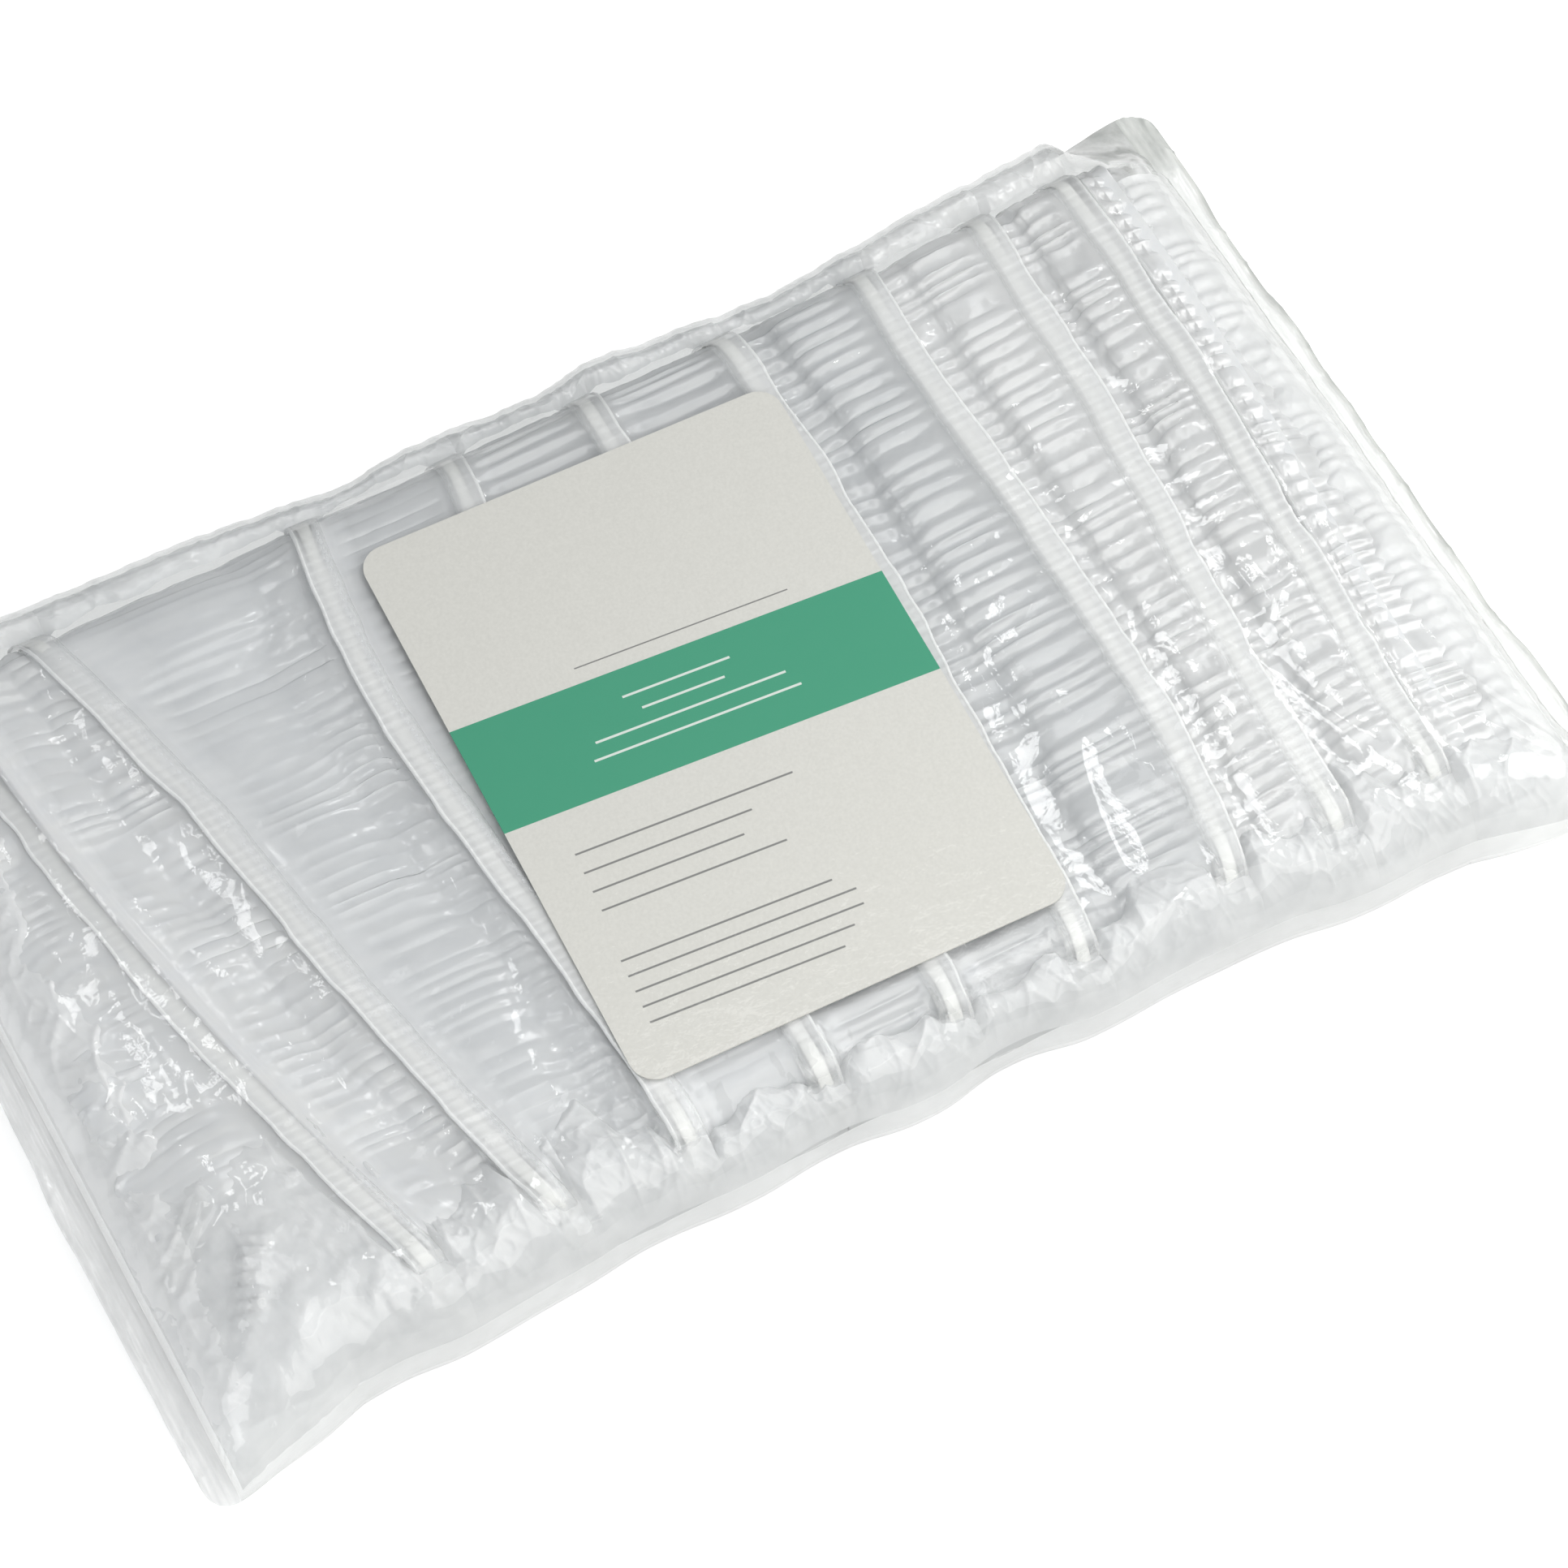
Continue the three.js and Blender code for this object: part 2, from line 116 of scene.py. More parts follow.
# Creases: height, pitch along x and along y, seed, sharpness and, for slanted ones, the lean of each pitch
END_CREASES = (1.2 * MM, 5 * MM, 1 / 26, 91, 3)  # along a strip and round its section
END_PLEATS = (1.8 * MM, 5 * MM, 22 * MM, 92, 2)
BUNCH_CREASES = (1.0 * MM, 6 * MM, -6 * MM, 229, 3, 1, -1)
CRUMPLE_LUMPS = (0.8 * MM, 11 * MM, 7 * MM, 11 / 19)
CRUMPLE_CREASES = (
    (0.9 * MM, 8 * MM, 11 * MM, 1, 5, 0, -11 / 15),
    (0.5 * MM, 4 * MM, 6 * MM, 2, 4, 4 / 9),
    (0.3 * MM, 2.2 * MM, 3 * MM, 3, 3, 2.2 / 5),
)
FRONT_CREASES = (
    (0.45 * MM, 38 * MM, 60 * MM, 150, 9, 0.4),
    (0.30 * MM, 17 * MM, 26 * MM, 151, 7),
    (0.18 * MM, 6 * MM, 7 * MM, 152, 4),
)
GLINT_CREASES = (0.40 * MM, 5 * MM, 6 * MM, 155, 5)
BACK_CREASES = (0.50 * MM, 30 * MM, 40 * MM, 160, 8)
SEAL_CREASES = (0.7 * MM, 9 * MM, 1 / 2, 173, 5, 9 * MM)  # along a seal and across it

# Crumpled film at the strips' ends
LOOSE_END = (0.35, 0.15)  # across the first strip: where its film turns loose
LOOSE_CORNER = (-30 * MM, -55 * MM)  # along it, towards the near corner
LOOSE_CORNER_ACROSS = (0.85, 0.55)
LOOSE_UP = (0.5, 0.7)
LOOSE_CALM = 0.7  # share of the ruffles lost there
LOOSE_HEIGHT = 1.2  # height of the crumples there, as a share
RIB_COLUMN = ((-143, -64), (-156, -86))  # ends of a short stretch of tight gathers, in millimetres
RIB_PITCH = 3.0 * MM
RIB_HEIGHT = 2.8 * MM
RIB_HALF_WIDTH = 3.4 * MM
RIB_STEEP = 5  # how fast it starts and stops
TUFT_GRID = (100, 60)
TUFT_REACH = 10 * MM  # how far crumpled film reaches in from a strip's near tip
FAR_REACH = 4 * MM  # the same from its far tip
# Strips with a longer reach at the near tip
NEAR_REACHES = {1: 24 * MM, 2: 26 * MM, 3: 22 * MM, 7: 14 * MM, 8: 16 * MM, 9: 16 * MM, 10: 16 * MM}
CORNER_REACH = 44 * MM  # how much further it reaches at the near left corner
CORNER_SPAN = (-92 * MM, -140 * MM)  # stretch of x over which that grows
TUFT_RAGGED = (0.4, 9 * MM)  # waver of its inner edge, as a share of the reach, and its pitch
TUFT_SIDE_DROP = 0.8 * MM  # how far it sinks towards a strip's two sides
HEM_GROOVE = 3.2 * MM  # how far a hem presses it down
GROOVE_SIDE = 2 * MM  # stretch over which it rises again beside the hem
GROOVE_END = 4 * MM  # the same towards the hem's end
EAR_ROOM = 28 * MM  # empty stretch of the far right ear
PAD_GRID = (300, 50)
PAD_REACH = 14 * MM  # reach of the pad of film at the left seal over the first cap
PAD_TUCK = 4 * MM  # reach of the pad at the right seal past the last hem
PAD_RAGGED = (3 * MM, 9 * MM)  # waver of their inner edges, and its pitch
PAD_FAR = 0.88  # share of a cap's half length where it stops
PAD_LIFT = 0.2 * MM  # how much nearer to the roof it lies
PAD_ROUGH = 0.5  # share of the crumples that it has
PAD_RUFFLE = 0.6 * MM  # height of its ruffles
BUNCH_ROOM = 1.4 * MM  # how far crumpled film lies under the bag's roof
BUNCH_TUCK = 5 * MM  # how far its inner edge is tucked under
BUNCH_LIFT = 0.3 * MM  # how far its outer edge lies over the side line
BUNCH_CALM = 0.15  # share of the crumples lost there
EDGE_ROOM = 1.0 * MM  # between it and the bag's sides and seals

# Section of a strip from its upper lip, round its folded nose and under, to its lower lip. Across runs
# from 0 at the nose to 1 at the lip and 2 at the strip's right side. Depth is the share of the ruffles.
LEDGE_TOP = (
    # across, up, depth
    (1.45, 0.958, 0.00),
    (0.98, 0.968, 0.08),
    (0.87, 0.972, 0.30),
    (0.75, 0.972, 0.70),
    (0.60, 0.968, 1.00),
    (0.44, 0.955, 1.00),
    (0.34, 0.935, 1.00),
    (0.285, 0.910, 0.90),
    (0.240, 0.885, 0.75),
    (0.19, 0.875, 0.70),
    (0.10, 0.880, 0.70),
    (0.00, 0.876, 0.50),
    (-0.12, 0.862, 0.20),
    (-0.05, 0.450, 0.30),
)
FIRST_TOP = (
    (1.45, 0.958, 0.00),
    (0.98, 0.968, 0.08),
    (0.87, 0.972, 0.30),
    (0.75, 0.970, 0.70),
    (0.60, 0.962, 1.00),
    (0.46, 0.945, 1.00),
    (0.33, 0.912, 1.00),
    (0.22, 0.855, 0.90),
    (0.12, 0.770, 0.80),
    (0.04, 0.640, 0.60),
    (0.00, 0.450, 0.40),
)
FLUSH_TOP = (
    (1.45, 0.950, 0.00),
    (1.00, 0.955, 0.20),
    (0.90, 0.960, 0.60),
    (0.60, 0.962, 1.00),
    (0.30, 0.962, 1.00),
    (0.10, 0.960, 0.60),
    (0.00, 0.955, 0.20),
    (-0.12, 0.948, 0.00),
    (-0.05, 0.450, 0.30),
)
END_TOP = (
    (1.30, 0.900, 0.00),
    (0.95, 0.925, 0.20),
    (0.80, 0.945, 0.50),
    (0.60, 0.965, 0.90),
    (0.35, 0.978, 1.00),
    (0.15, 0.978, 0.90),
    (0.04, 0.965, 0.40),
    (-0.06, 0.950, 0.00),
    (0.00, 0.450, 0.30),
)
STRIP_UNDERSIDE = (
    (0.03, 0.140, 0.40),
    (0.14, 0.015, 0.10),
    (0.50, 0.000, 0.00),
    (0.95, 0.000, 0.00),
    (1.55, 0.030, 0.20),
    (1.92, 0.180, 0.50),
    (1.96, 0.400, 0.60),
    (1.70, 0.580, 0.60),
    (1.25, 0.700, 0.40),
    (1.05, 0.752, 0.10),
)
SADDLE_CREASES = {2: 0.60, 3: 0.70}  # strips that lie soft against the hem before them, and their crease
LEFT_EDGED_HEMS = (1, 2, 3)  # hems with their folded edge on the left
MILKY_SHARE = 0.2  # share of a strip's width that is milky beside a left-edged hem
FLUSH_CAPS = (4, 5, 6)  # caps under the card

# Films
CLEAR = (0.985, 0.988, 0.99)
FILM_KINDS = {
    # tone of what is seen through it, glow from behind, roughness, scale and stretch of the grain
    "core": (CLEAR, 0.05, 0.2, 260.0, (0.35, 1.0, 1.0)),
    "cap": (CLEAR, 0.35, 0.18, 260.0, (0.35, 1.0, 1.0)),
    "end": (CLEAR, 0.2, 0.14, 200.0, (1.0, 1.0, 1.0)),
    "hem": ((0.985, 0.988, 0.988), 0.2, 0.28, 420.0, (1.0, 0.4, 1.0)),
    "bag": ((0.97, 0.975, 0.973), 0.4, 0.07, 220.0, (1.0, 1.0, 1.0)),
    "seal": ((0.90, 0.91, 0.905), 0.25, 0.12, 300.0, (1.0, 0.3, 1.0)),
}
FILMS = (
    # name, kind, haze, change of haze at edges, darkest and lightest tone, gleam, depth of the grain
    ("cap_core_film", "core", 0.96, 0, (0.90, 0.915, 0.94), (0.97, 0.975, 0.98), 0.08, 0.4 * MM),
    ("cap_left_film", "cap", 0.72, 0.4, (0.95, 0.96, 0.978), (0.988, 0.99, 0.99), 0.05, 0.2 * MM),
    ("cap_left_grey_film", "cap", 0.66, 0.4, (0.87, 0.883, 0.90), (0.94, 0.947, 0.955), 0.05, 0.2 * MM),
    ("cap_grey_film", "cap", 0.66, 0.4, (0.81, 0.823, 0.84), (0.90, 0.908, 0.915), 0.08, 0.3 * MM),
    ("cap_right_film", "cap", 0.72, 0.4, (0.965, 0.97, 0.978), (0.99, 0.99, 0.99), 0.08, 0.3 * MM),
    ("cap_end_film", "end", 0.8, 0, (0.83, 0.84, 0.85), (0.93, 0.934, 0.94), 0.025, 0.5 * MM),
    ("cap_pad_film", "end", 0.85, 0, (0.94, 0.945, 0.955), (0.985, 0.987, 0.99), 0.025, 0.5 * MM),
    ("hem_film", "hem", 0.66, -0.55, (0.95, 0.957, 0.965), (0.985, 0.987, 0.988), 0.08, 0.2 * MM),
    ("hem_edge_film", "hem", 0.95, -0.6, (0.95, 0.957, 0.965), (0.985, 0.987, 0.988), 0.08, 0.2 * MM),
    # the bag film's grey tones show only where its haze grows: painted shade along the bag's sides, its right
    # end and the far right ear; the long folds take the same grey
    ("bag_film", "bag", 0.015, 0.3, (0.50, 0.515, 0.50), (0.72, 0.73, 0.72), 0.035, 0.3 * MM),
    ("bag_left_seal_film", "seal", 0.7, 0.1, (0.74, 0.75, 0.75), (0.88, 0.885, 0.885), 0.05, 0.3 * MM),
    # darker grey tones: painted shade at the right seal's outer edge and on the far right ear
    ("bag_right_seal_painted_shade_film", "seal", 0.45, 0.5, (0.48, 0.50, 0.48), (0.66, 0.675, 0.655), 0.05, 0.3 * MM),
)
CAP_FILM_NAMES = (
    ["cap_left_film"] * 2 + ["cap_left_grey_film"] * 2 + ["cap_grey_film"] * 3 + ["cap_right_film"] * 3
)


def saddle_top(crease):
    """The upper side of a strip that runs on from the hem before it and dips at a soft crease."""
    return (
        (1.20, 0.930, 0.00),
        (1.00, 0.932, 0.40),
        (0.95, 0.934, 1.60),
        (crease + 0.20, 0.930, 2.00),
        (crease + 0.10, 0.912, 1.80),
        (crease, 0.890, 1.20),
        (crease - 0.10, 0.912, 1.00),
        (crease - 0.24, 0.942, 0.90),
        (0.20, 0.957, 0.70),
        (0.08, 0.962, 0.35),
        (0.00, 0.958, 0.05),
        (-0.12, 0.948, 0.00),
        (-0.05, 0.450, 0.30),
    )


def strip_section(k):
    if k in SADDLE_CREASES:
        return saddle_top(SADDLE_CREASES[k]) + STRIP_UNDERSIDE
    if k == CAP_NUMBERS[0]:
        return FIRST_TOP + STRIP_UNDERSIDE
    if k == CAP_NUMBERS[-1]:
        return END_TOP + STRIP_UNDERSIDE
    return (FLUSH_TOP if k in FLUSH_CAPS else LEDGE_TOP) + STRIP_UNDERSIDE


# Points of the frame


def mesh_points(mesh):
    flat = np.empty(3 * len(mesh.vertices), np.float32)
    mesh.vertices.foreach_get("co", flat)
    return flat.reshape(-1, 3).astype(float)


def node_points(name):
    return mesh_points(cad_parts[name].data)


PACK_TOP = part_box("bag_front_film")[1].z
ROOF_GAP = PACK_TOP - max(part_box(f"cap_{k:02d}_hem")[1].z for k in CAP_NUMBERS)
SEAL_LOW, SEAL_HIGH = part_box("bag_right_seal")
SIDE_HEIGHT = (SEAL_LOW.z + SEAL_HIGH.z) / 2
SEAL_X = SEAL_LOW.x
END_X = SEAL_HIGH.x
back_points = node_points("bag_back_film")
flat_points = np.abs(back_points[back_points[:, 2] < 0.01 * MM])
FLAT_X = flat_points[:, 0].max()
FLAT_Y = flat_points[:, 1].max()
bag_stations = np.unique(np.round(np.abs(back_points[:, 0]), 4))
bag_reaches = np.array(
    [back_points[np.abs(np.abs(back_points[:, 0]) - x) < 0.1 * MM, 1].max() for x in bag_stations]
)
ROW_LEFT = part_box("cap_01_film")[0].x
CAP_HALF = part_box("cap_01_film")[1].y

# The card's middle, turn and size
card_points = node_points("insert_card")
CARD_MIDDLE = (card_points.min(0) + card_points.max(0)) / 2
card_axes = np.linalg.eigh(np.cov((card_points - CARD_MIDDLE)[:, :2].T))[1]
CARD_UP = card_axes[:, 1] * np.sign(card_axes[1, 1])
CARD_TURN = math.atan2(-CARD_UP[0], CARD_UP[1])
CARD_ACROSS = np.array([CARD_UP[1], -CARD_UP[0]])
CARD_WIDTH = 2 * np.abs((card_points - CARD_MIDDLE)[:, :2] @ CARD_ACROSS).max()
CARD_HEIGHT = 2 * np.abs((card_points - CARD_MIDDLE)[:, :2] @ CARD_UP).max()
CARD_TOP = card_points[:, 2].max()


def ramp(value, start, stop):
    """Nought at start, one at stop and even between them. Stop may be the lower of the two."""
    return np.clip((value - start) / (stop - start), 0, 1)


def half_width(x):
    """How far the bag's straight side lies from its middle line."""
    return np.interp(np.abs(x), bag_stations, bag_reaches)


def fall(v, edge, flat):
    """One as far out as flat, and round down to nought at edge."""
    return np.sqrt(1 - ramp(np.abs(v), flat, edge) ** 2)


def fill(x, y):
    """How full the bag is, from nought at its sides and seals to one."""
    half = half_width(x)
    return fall(x, SEAL_X, FLAT_X) * fall(y, half, FLAT_Y + half - half_width(0))


def roof(x, y):
    """Height of the bag's upper side, as if it were not drawn down."""
    return SIDE_HEIGHT + (PACK_TOP - SIDE_HEIGHT) * fill(x, y)


def ground(x, y):
    """Height of the bag's lower side."""
    return SIDE_HEIGHT * (1 - fill(x, y))


def rim_line(k):
    """The right edge and the width of cap k's hem, as a smooth line in y."""
    points = node_points(f"cap_{k:02d}_hem")
    line = np.polynomial.Polynomial.fit(points[:, 1], points[:, 0], 5)
    off = points[:, 0] - line(points[:, 1])
    return line + off.max(), off.max() - off.min()


RIM_LINES = {k: rim_line(k)[0] for k in CAP_NUMBERS}
HEM_WIDTH = rim_line(1)[1]


def strip_sides(k, y):
    """Left side, right side and top of strip k along y."""
    left = RIM_LINES[k - 1](y) + STRIP_GAP if k > 1 else np.full_like(y, ROW_LEFT)
    right = RIM_LINES[k](y)
    outward = y * ROOF_MARGIN
    top = np.minimum(roof(right, outward), roof((left + right) / 2, outward)) - ROOF_GAP
    return left, right, top


# Noise and meshes

LATTICE = 64
EDGE_LAYER = "edge"  # a mesh layer with the share of a material's edge haze at each point


def noise(x, y, seed):
    """Smooth noise from -1 to 1, with about one bump for each step of x or y."""
    values = np.random.default_rng(seed).uniform(-1, 1, (LATTICE, LATTICE))
    i = np.floor(x).astype(int)
    j = np.floor(y).astype(int)
    u = x - i
    v = y - j
    u = u * u * u * (u * (6 * u - 15) + 10)
    v = v * v * v * (v * (6 * v - 15) + 10)
    i0, i1, j0, j1 = i % LATTICE, (i + 1) % LATTICE, j % LATTICE, (j + 1) % LATTICE
    low = values[i0, j0] * (1 - u) + values[i1, j0] * u
    high = values[i0, j1] * (1 - u) + values[i1, j1] * u
    return low * (1 - v) + high * v


def creases(x, y, seed, sharp):
    """Thin raised lines where the noise crosses nought."""
    return (1 - np.abs(noise(x, y, seed))) ** sharp


def creased(x, y, seed, height, pitch_x, pitch_y, own_seed, sharp, lean_x=0, lean_y=0):
    """Height of creases from one of the looks above."""
    first = (x + lean_x * y) / pitch_x
    second = (y + lean_y * x) / pitch_y
    return height * creases(first, second, seed + own_seed, sharp)


def wander(place, row, seed, reach, pitch):
    """Soft steps to and fro along a line, as far as reach."""
    return reach * noise(place / pitch, 0 * place + row, seed)


def grid_quads(rows, columns, closed_rows, closed_columns):
    index = np.arange(rows * columns).reshape(rows, columns)
    if closed_rows:
        index = np.vstack([index, index[:1]])
    if closed_columns:
        index = np.hstack([index, index[:, :1]])
    corners = (index[:-1, :-1], index[1:, :-1], index[1:, 1:], index[:-1, 1:])
    return np.stack(corners, -1).reshape(-1, 4)


def grid_object(name, grids, materials, closed_rows=False, closed_columns=False):
    """A smooth mesh over one or more grids of points, each with its own material."""
    points, quads, slots = [], [], []
    start = 0
    for slot, grid in enumerate(grids):
        rows, columns = grid.shape[:2]
        quads.append(grid_quads(rows, columns, closed_rows, closed_columns) + start)
        slots.append(np.full(len(quads[-1]), min(slot, len(materials) - 1)))
        points.append(grid.reshape(-1, 3))
        start += rows * columns
    mesh = bpy.data.meshes.new(name)
    mesh.from_pydata(np.vstack(points).tolist(), [], np.vstack(quads).tolist())
    for material in materials:
        mesh.materials.append(material)
    mesh.polygons.foreach_set("use_smooth", np.ones(len(mesh.polygons), bool))
    mesh.polygons.foreach_set("material_index", np.concatenate(slots).astype(np.int32))
    piece = bpy.data.objects.new(name, mesh)
    bpy.context.scene.collection.objects.link(piece)
    return piece


def set_edge_layer(piece, shares):
    """Sets the edge haze of a piece, from one array for each of its grids."""
    values = np.concatenate([share.ravel() for share in shares])
    layer = piece.data.attributes.new(EDGE_LAYER, "FLOAT", "POINT")
    layer.data.foreach_set("value", np.ascontiguousarray(values, np.float32))


def smooth_path(points, count):
    """A Catmull-Rom line through points, at evenly spaced places."""
    points = np.array(points, float)
    padded = np.vstack([2 * points[0] - points[1], points, 2 * points[-1] - points[-2]])
    place = np.linspace(0, len(points) - 1, count)
    i = np.minimum(place.astype(int), len(points) - 2)
    t = (place - i)[:, None]
    a, b, c, d = padded[i], padded[i + 1], padded[i + 2], padded[i + 3]
    return 0.5 * (2 * b + (c - a) * t + (2 * a - 5 * b + 4 * c - d) * t**2 + (3 * b - a - 3 * c + d) * t**3)


# Materials

FILM_BUMP = 0.4  # how strongly a film's grain is felt in its shading
SHINE_STEEP = 4.0  # how steeply a film's gloss grows where it is seen edge on
SHINE_RISE = 0.7  # how far
GRAIN_SPAN = (0.3, 0.7)  # values of the grain at the darkest and lightest tone
ELASTIC_LOW = (0.78, 0.78, 0.76)
ELASTIC_HIGH = (0.88, 0.88, 0.86)
EVEN = (1.0, 1.0, 1.0)


def set_input(tree, socket, value):
    """Sets an input to a value, or links an output to it."""
    if isinstance(value, bpy.types.NodeSocket):
        tree.links.new(value, socket)
    else:
        socket.default_value = value


def add_node(tree, kind, **inputs):
    """A node with values or links for some of its inputs."""
    node = tree.nodes.new(kind)
    for key, value in inputs.items():
        set_input(tree, node.inputs[key.replace("_", " ")], value)
    return node


def add_math(tree, operation, *values):
    """A Math node. A value is a number or an output."""
    node = tree.nodes.new("ShaderNodeMath")
    node.operation = operation
    for socket, value in zip(node.inputs, values):
        set_input(tree, socket, value)
    return node.outputs[0]


def new_material(name):
    material = bpy.data.materials.new(name)
    material.use_nodes = True
    tree = material.node_tree
    tree.nodes.clear()
    return material, tree, tree.nodes.new("ShaderNodeOutputMaterial")


def add_grain(tree, scale, stretch):
    """A fine cloudy grain."""
    place = tree.nodes.new("ShaderNodeTexCoord").outputs["Object"]
    mapping = add_node(tree, "ShaderNodeMapping", Vector=place, Scale=stretch).outputs["Vector"]
    grain = add_node(tree, "ShaderNodeTexNoise", Vector=mapping, Scale=scale, Detail=3.0, Roughness=0.6)
    return grain.outputs["Fac"]


def add_bump(tree, height, distance, strength):
    bump = add_node(tree, "ShaderNodeBump", Strength=strength, Distance=distance, Height=height)
    return bump.outputs["Normal"]


def add_tones(tree, source, *tones):
    node = add_node(tree, "ShaderNodeValToRGB", Fac=source)
    for element, position, tone in zip(node.color_ramp.elements, GRAIN_SPAN, tones):
        element.position = position
        element.color = (*tone, 1)
    return node.outputs["Color"]


def add_mix(tree, share, first, second):
    """Two shaders mixed by a number or an output."""
    mix = add_node(tree, "ShaderNodeMixShader", Fac=share)
    tree.links.new(first, mix.inputs[1])
    tree.links.new(second, mix.inputs[2])
    return mix.outputs[0]


def film_material(name, kind, haze, edge_haze, low, high, gleam, bump):
    """Thin plastic film: clear, with a share of milky haze that also glows from behind, and a gloss."""
    clear, glow_share, roughness, scale, stretch = FILM_KINDS[kind]
    material, tree, output = new_material(name)
    grain = add_grain(tree, scale, stretch)
    normal = add_bump(tree, grain, bump, FILM_BUMP)
    colour = add_tones(tree, grain, low, high)
    through = add_node(tree, "ShaderNodeBsdfTransparent", Color=(*clear, 1))
    milk = add_node(tree, "ShaderNodeBsdfDiffuse", Color=colour, Normal=normal)
    glow = add_node(tree, "ShaderNodeBsdfTranslucent", Color=colour)
    gloss = add_node(tree, "ShaderNodeBsdfGlossy", Roughness=roughness, Normal=normal)
    facing = add_node(tree, "ShaderNodeLayerWeight", Blend=0.5).outputs["Facing"]
    edge_on = add_math(tree, "POWER", facing, SHINE_STEEP)
    shine = add_math(tree, "MULTIPLY_ADD", edge_on, SHINE_RISE, gleam)
    scatter = add_mix(tree, glow_share, milk.outputs[0], glow.outputs[0])
    if edge_haze:
        edge = tree.nodes.new("ShaderNodeAttribute")
        edge.attribute_name = EDGE_LAYER
        haze = add_math(tree, "MULTIPLY_ADD", edge.outputs["Fac"], edge_haze, haze)
    body = add_mix(tree, haze, through.outputs[0], scatter)
    tree.links.new(add_mix(tree, shine, body, gloss.outputs[0]), output.inputs["Surface"])
    return material


def elastic_material():
    material, tree, output = new_material("elastic")
    grain = add_grain(tree, 900.0, EVEN)
    normal = add_bump(tree, grain, 0.2 * MM, 0.5)
    colour = add_tones(tree, grain, ELASTIC_LOW, ELASTIC_HIGH)
    band = add_node(tree, "ShaderNodeBsdfPrincipled", Roughness=0.8, Normal=normal, Base_Color=colour)
    tree.links.new(band.outputs[0], output.inputs["Surface"])
    return material


# Print on the card, in millimetres from its middle: a plain stripe and thin rules
PAPER_LOW = (0.64, 0.63, 0.594)
PAPER_HIGH = (0.695, 0.685, 0.647)
STRIPE_COLOUR = (0.045, 0.32, 0.19, 1)
RULE_COLOUR = (0.22, 0.22, 0.215, 1)
PALE_COLOUR = (0.70, 0.76, 0.71, 1)
STRIPE = (-8.0, 20.5)  # bottom and top
HEADING_WEIGHT = 0.35
STRIPE_WEIGHT = 0.6
TEXT_WEIGHT = 0.5
HEADING_RULES = ((4.0, 24.5, 52.0),)  # middle across, middle up, length
STRIPE_RULES = ((-2.0, 13.5, 26.0), (-2.0, 9.3, 20.0), (-2.0, 5.1, 46.0), (-2.0, 0.9, 50.0))
TEXT_RULES = (
    (-14.0, -19.0, 52.0),
    (-20.0, -24.0, 40.0),
    (-22.0, -29.0, 36.0),
    (-18.0, -34.0, 44.0),
    (-16.0, -47.0, 50.0),
    (-14.0, -51.0, 54.0),
    (-14.0, -55.0, 54.0),
    (-16.0, -59.0, 50.0),
    (-18.0, -63.0, 46.0),
)


def add_bars(tree, across, up, bars, thickness):
    """One inside any of some bars and nought outside them."""
    share = 0.0
    for middle_x, middle_y, length in bars:
        in_x = add_math(tree, "COMPARE", across, middle_x, length / 2)
        in_y = add_math(tree, "COMPARE", up, middle_y, thickness / 2)
        share = add_math(tree, "MAXIMUM", share, add_math(tree, "MULTIPLY", in_x, in_y))
    return share


def add_colour_mix(tree, share, first, second):
    mix = tree.nodes.new("ShaderNodeMix")
    mix.data_type = "RGBA"
    tree.links.new(share, mix.inputs["Factor"])
    set_input(tree, mix.inputs["A"], first)
    set_input(tree, mix.inputs["B"], second)
    return mix.outputs["Result"]


def card_material():
    """Matt paper with a stripe and rules, laid out on the card's face."""
    material, tree, output = new_material("card")
    grain = add_grain(tree, 1500.0, EVEN)
    normal = add_bump(tree, grain, 0.05 * MM, 0.2)
    place = tree.nodes.new("ShaderNodeTexCoord").outputs["Object"]
    turn = (0, 0, CARD_TURN)
    mapping = add_node(
        tree, "ShaderNodeMapping", Vector=place, Location=CARD_MIDDLE, Rotation=turn, Scale=(MM, MM, MM)
    )
    mapping.vector_type = "TEXTURE"
    parts = add_node(tree, "ShaderNodeSeparateXYZ", Vector=mapping.outputs["Vector"])
    across = parts.outputs["X"]
    up = parts.outputs["Y"]
    colour = add_tones(tree, grain, PAPER_LOW, PAPER_HIGH)
    stripe = add_math(tree, "COMPARE", up, sum(STRIPE) / 2, (STRIPE[1] - STRIPE[0]) / 2)
    colour = add_colour_mix(tree, stripe, colour, STRIPE_COLOUR)
    for bars, weight, ink in (
        (HEADING_RULES, HEADING_WEIGHT, RULE_COLOUR),
        (TEXT_RULES, TEXT_WEIGHT, RULE_COLOUR),
        (STRIPE_RULES, STRIPE_WEIGHT, PALE_COLOUR),
    ):
        colour = add_colour_mix(tree, add_bars(tree, across, up, bars, weight), colour, ink)
    paper = add_node(
        tree, "ShaderNodeBsdfPrincipled", Roughness=0.45, IOR=1.45, Normal=normal, Base_Color=colour
    )
    tree.links.new(paper.outputs[0], output.inputs["Surface"])
    return material


# Caps


def strip_wave(name, y, place, seed):
    """One of the waves in a strip's film, at places along it and round its section."""
    height, pitch, bumps, own_seed = STRIP_WAVES[name]
    return height * noise(y / pitch, bumps * place, seed + own_seed)


def ruffle_phase(y, pitch, row, seed):
    """Turns of the ruffles along y, at uneven steps."""
    return y / pitch + wander(y, row, seed, *RUFFLE_DRIFT)


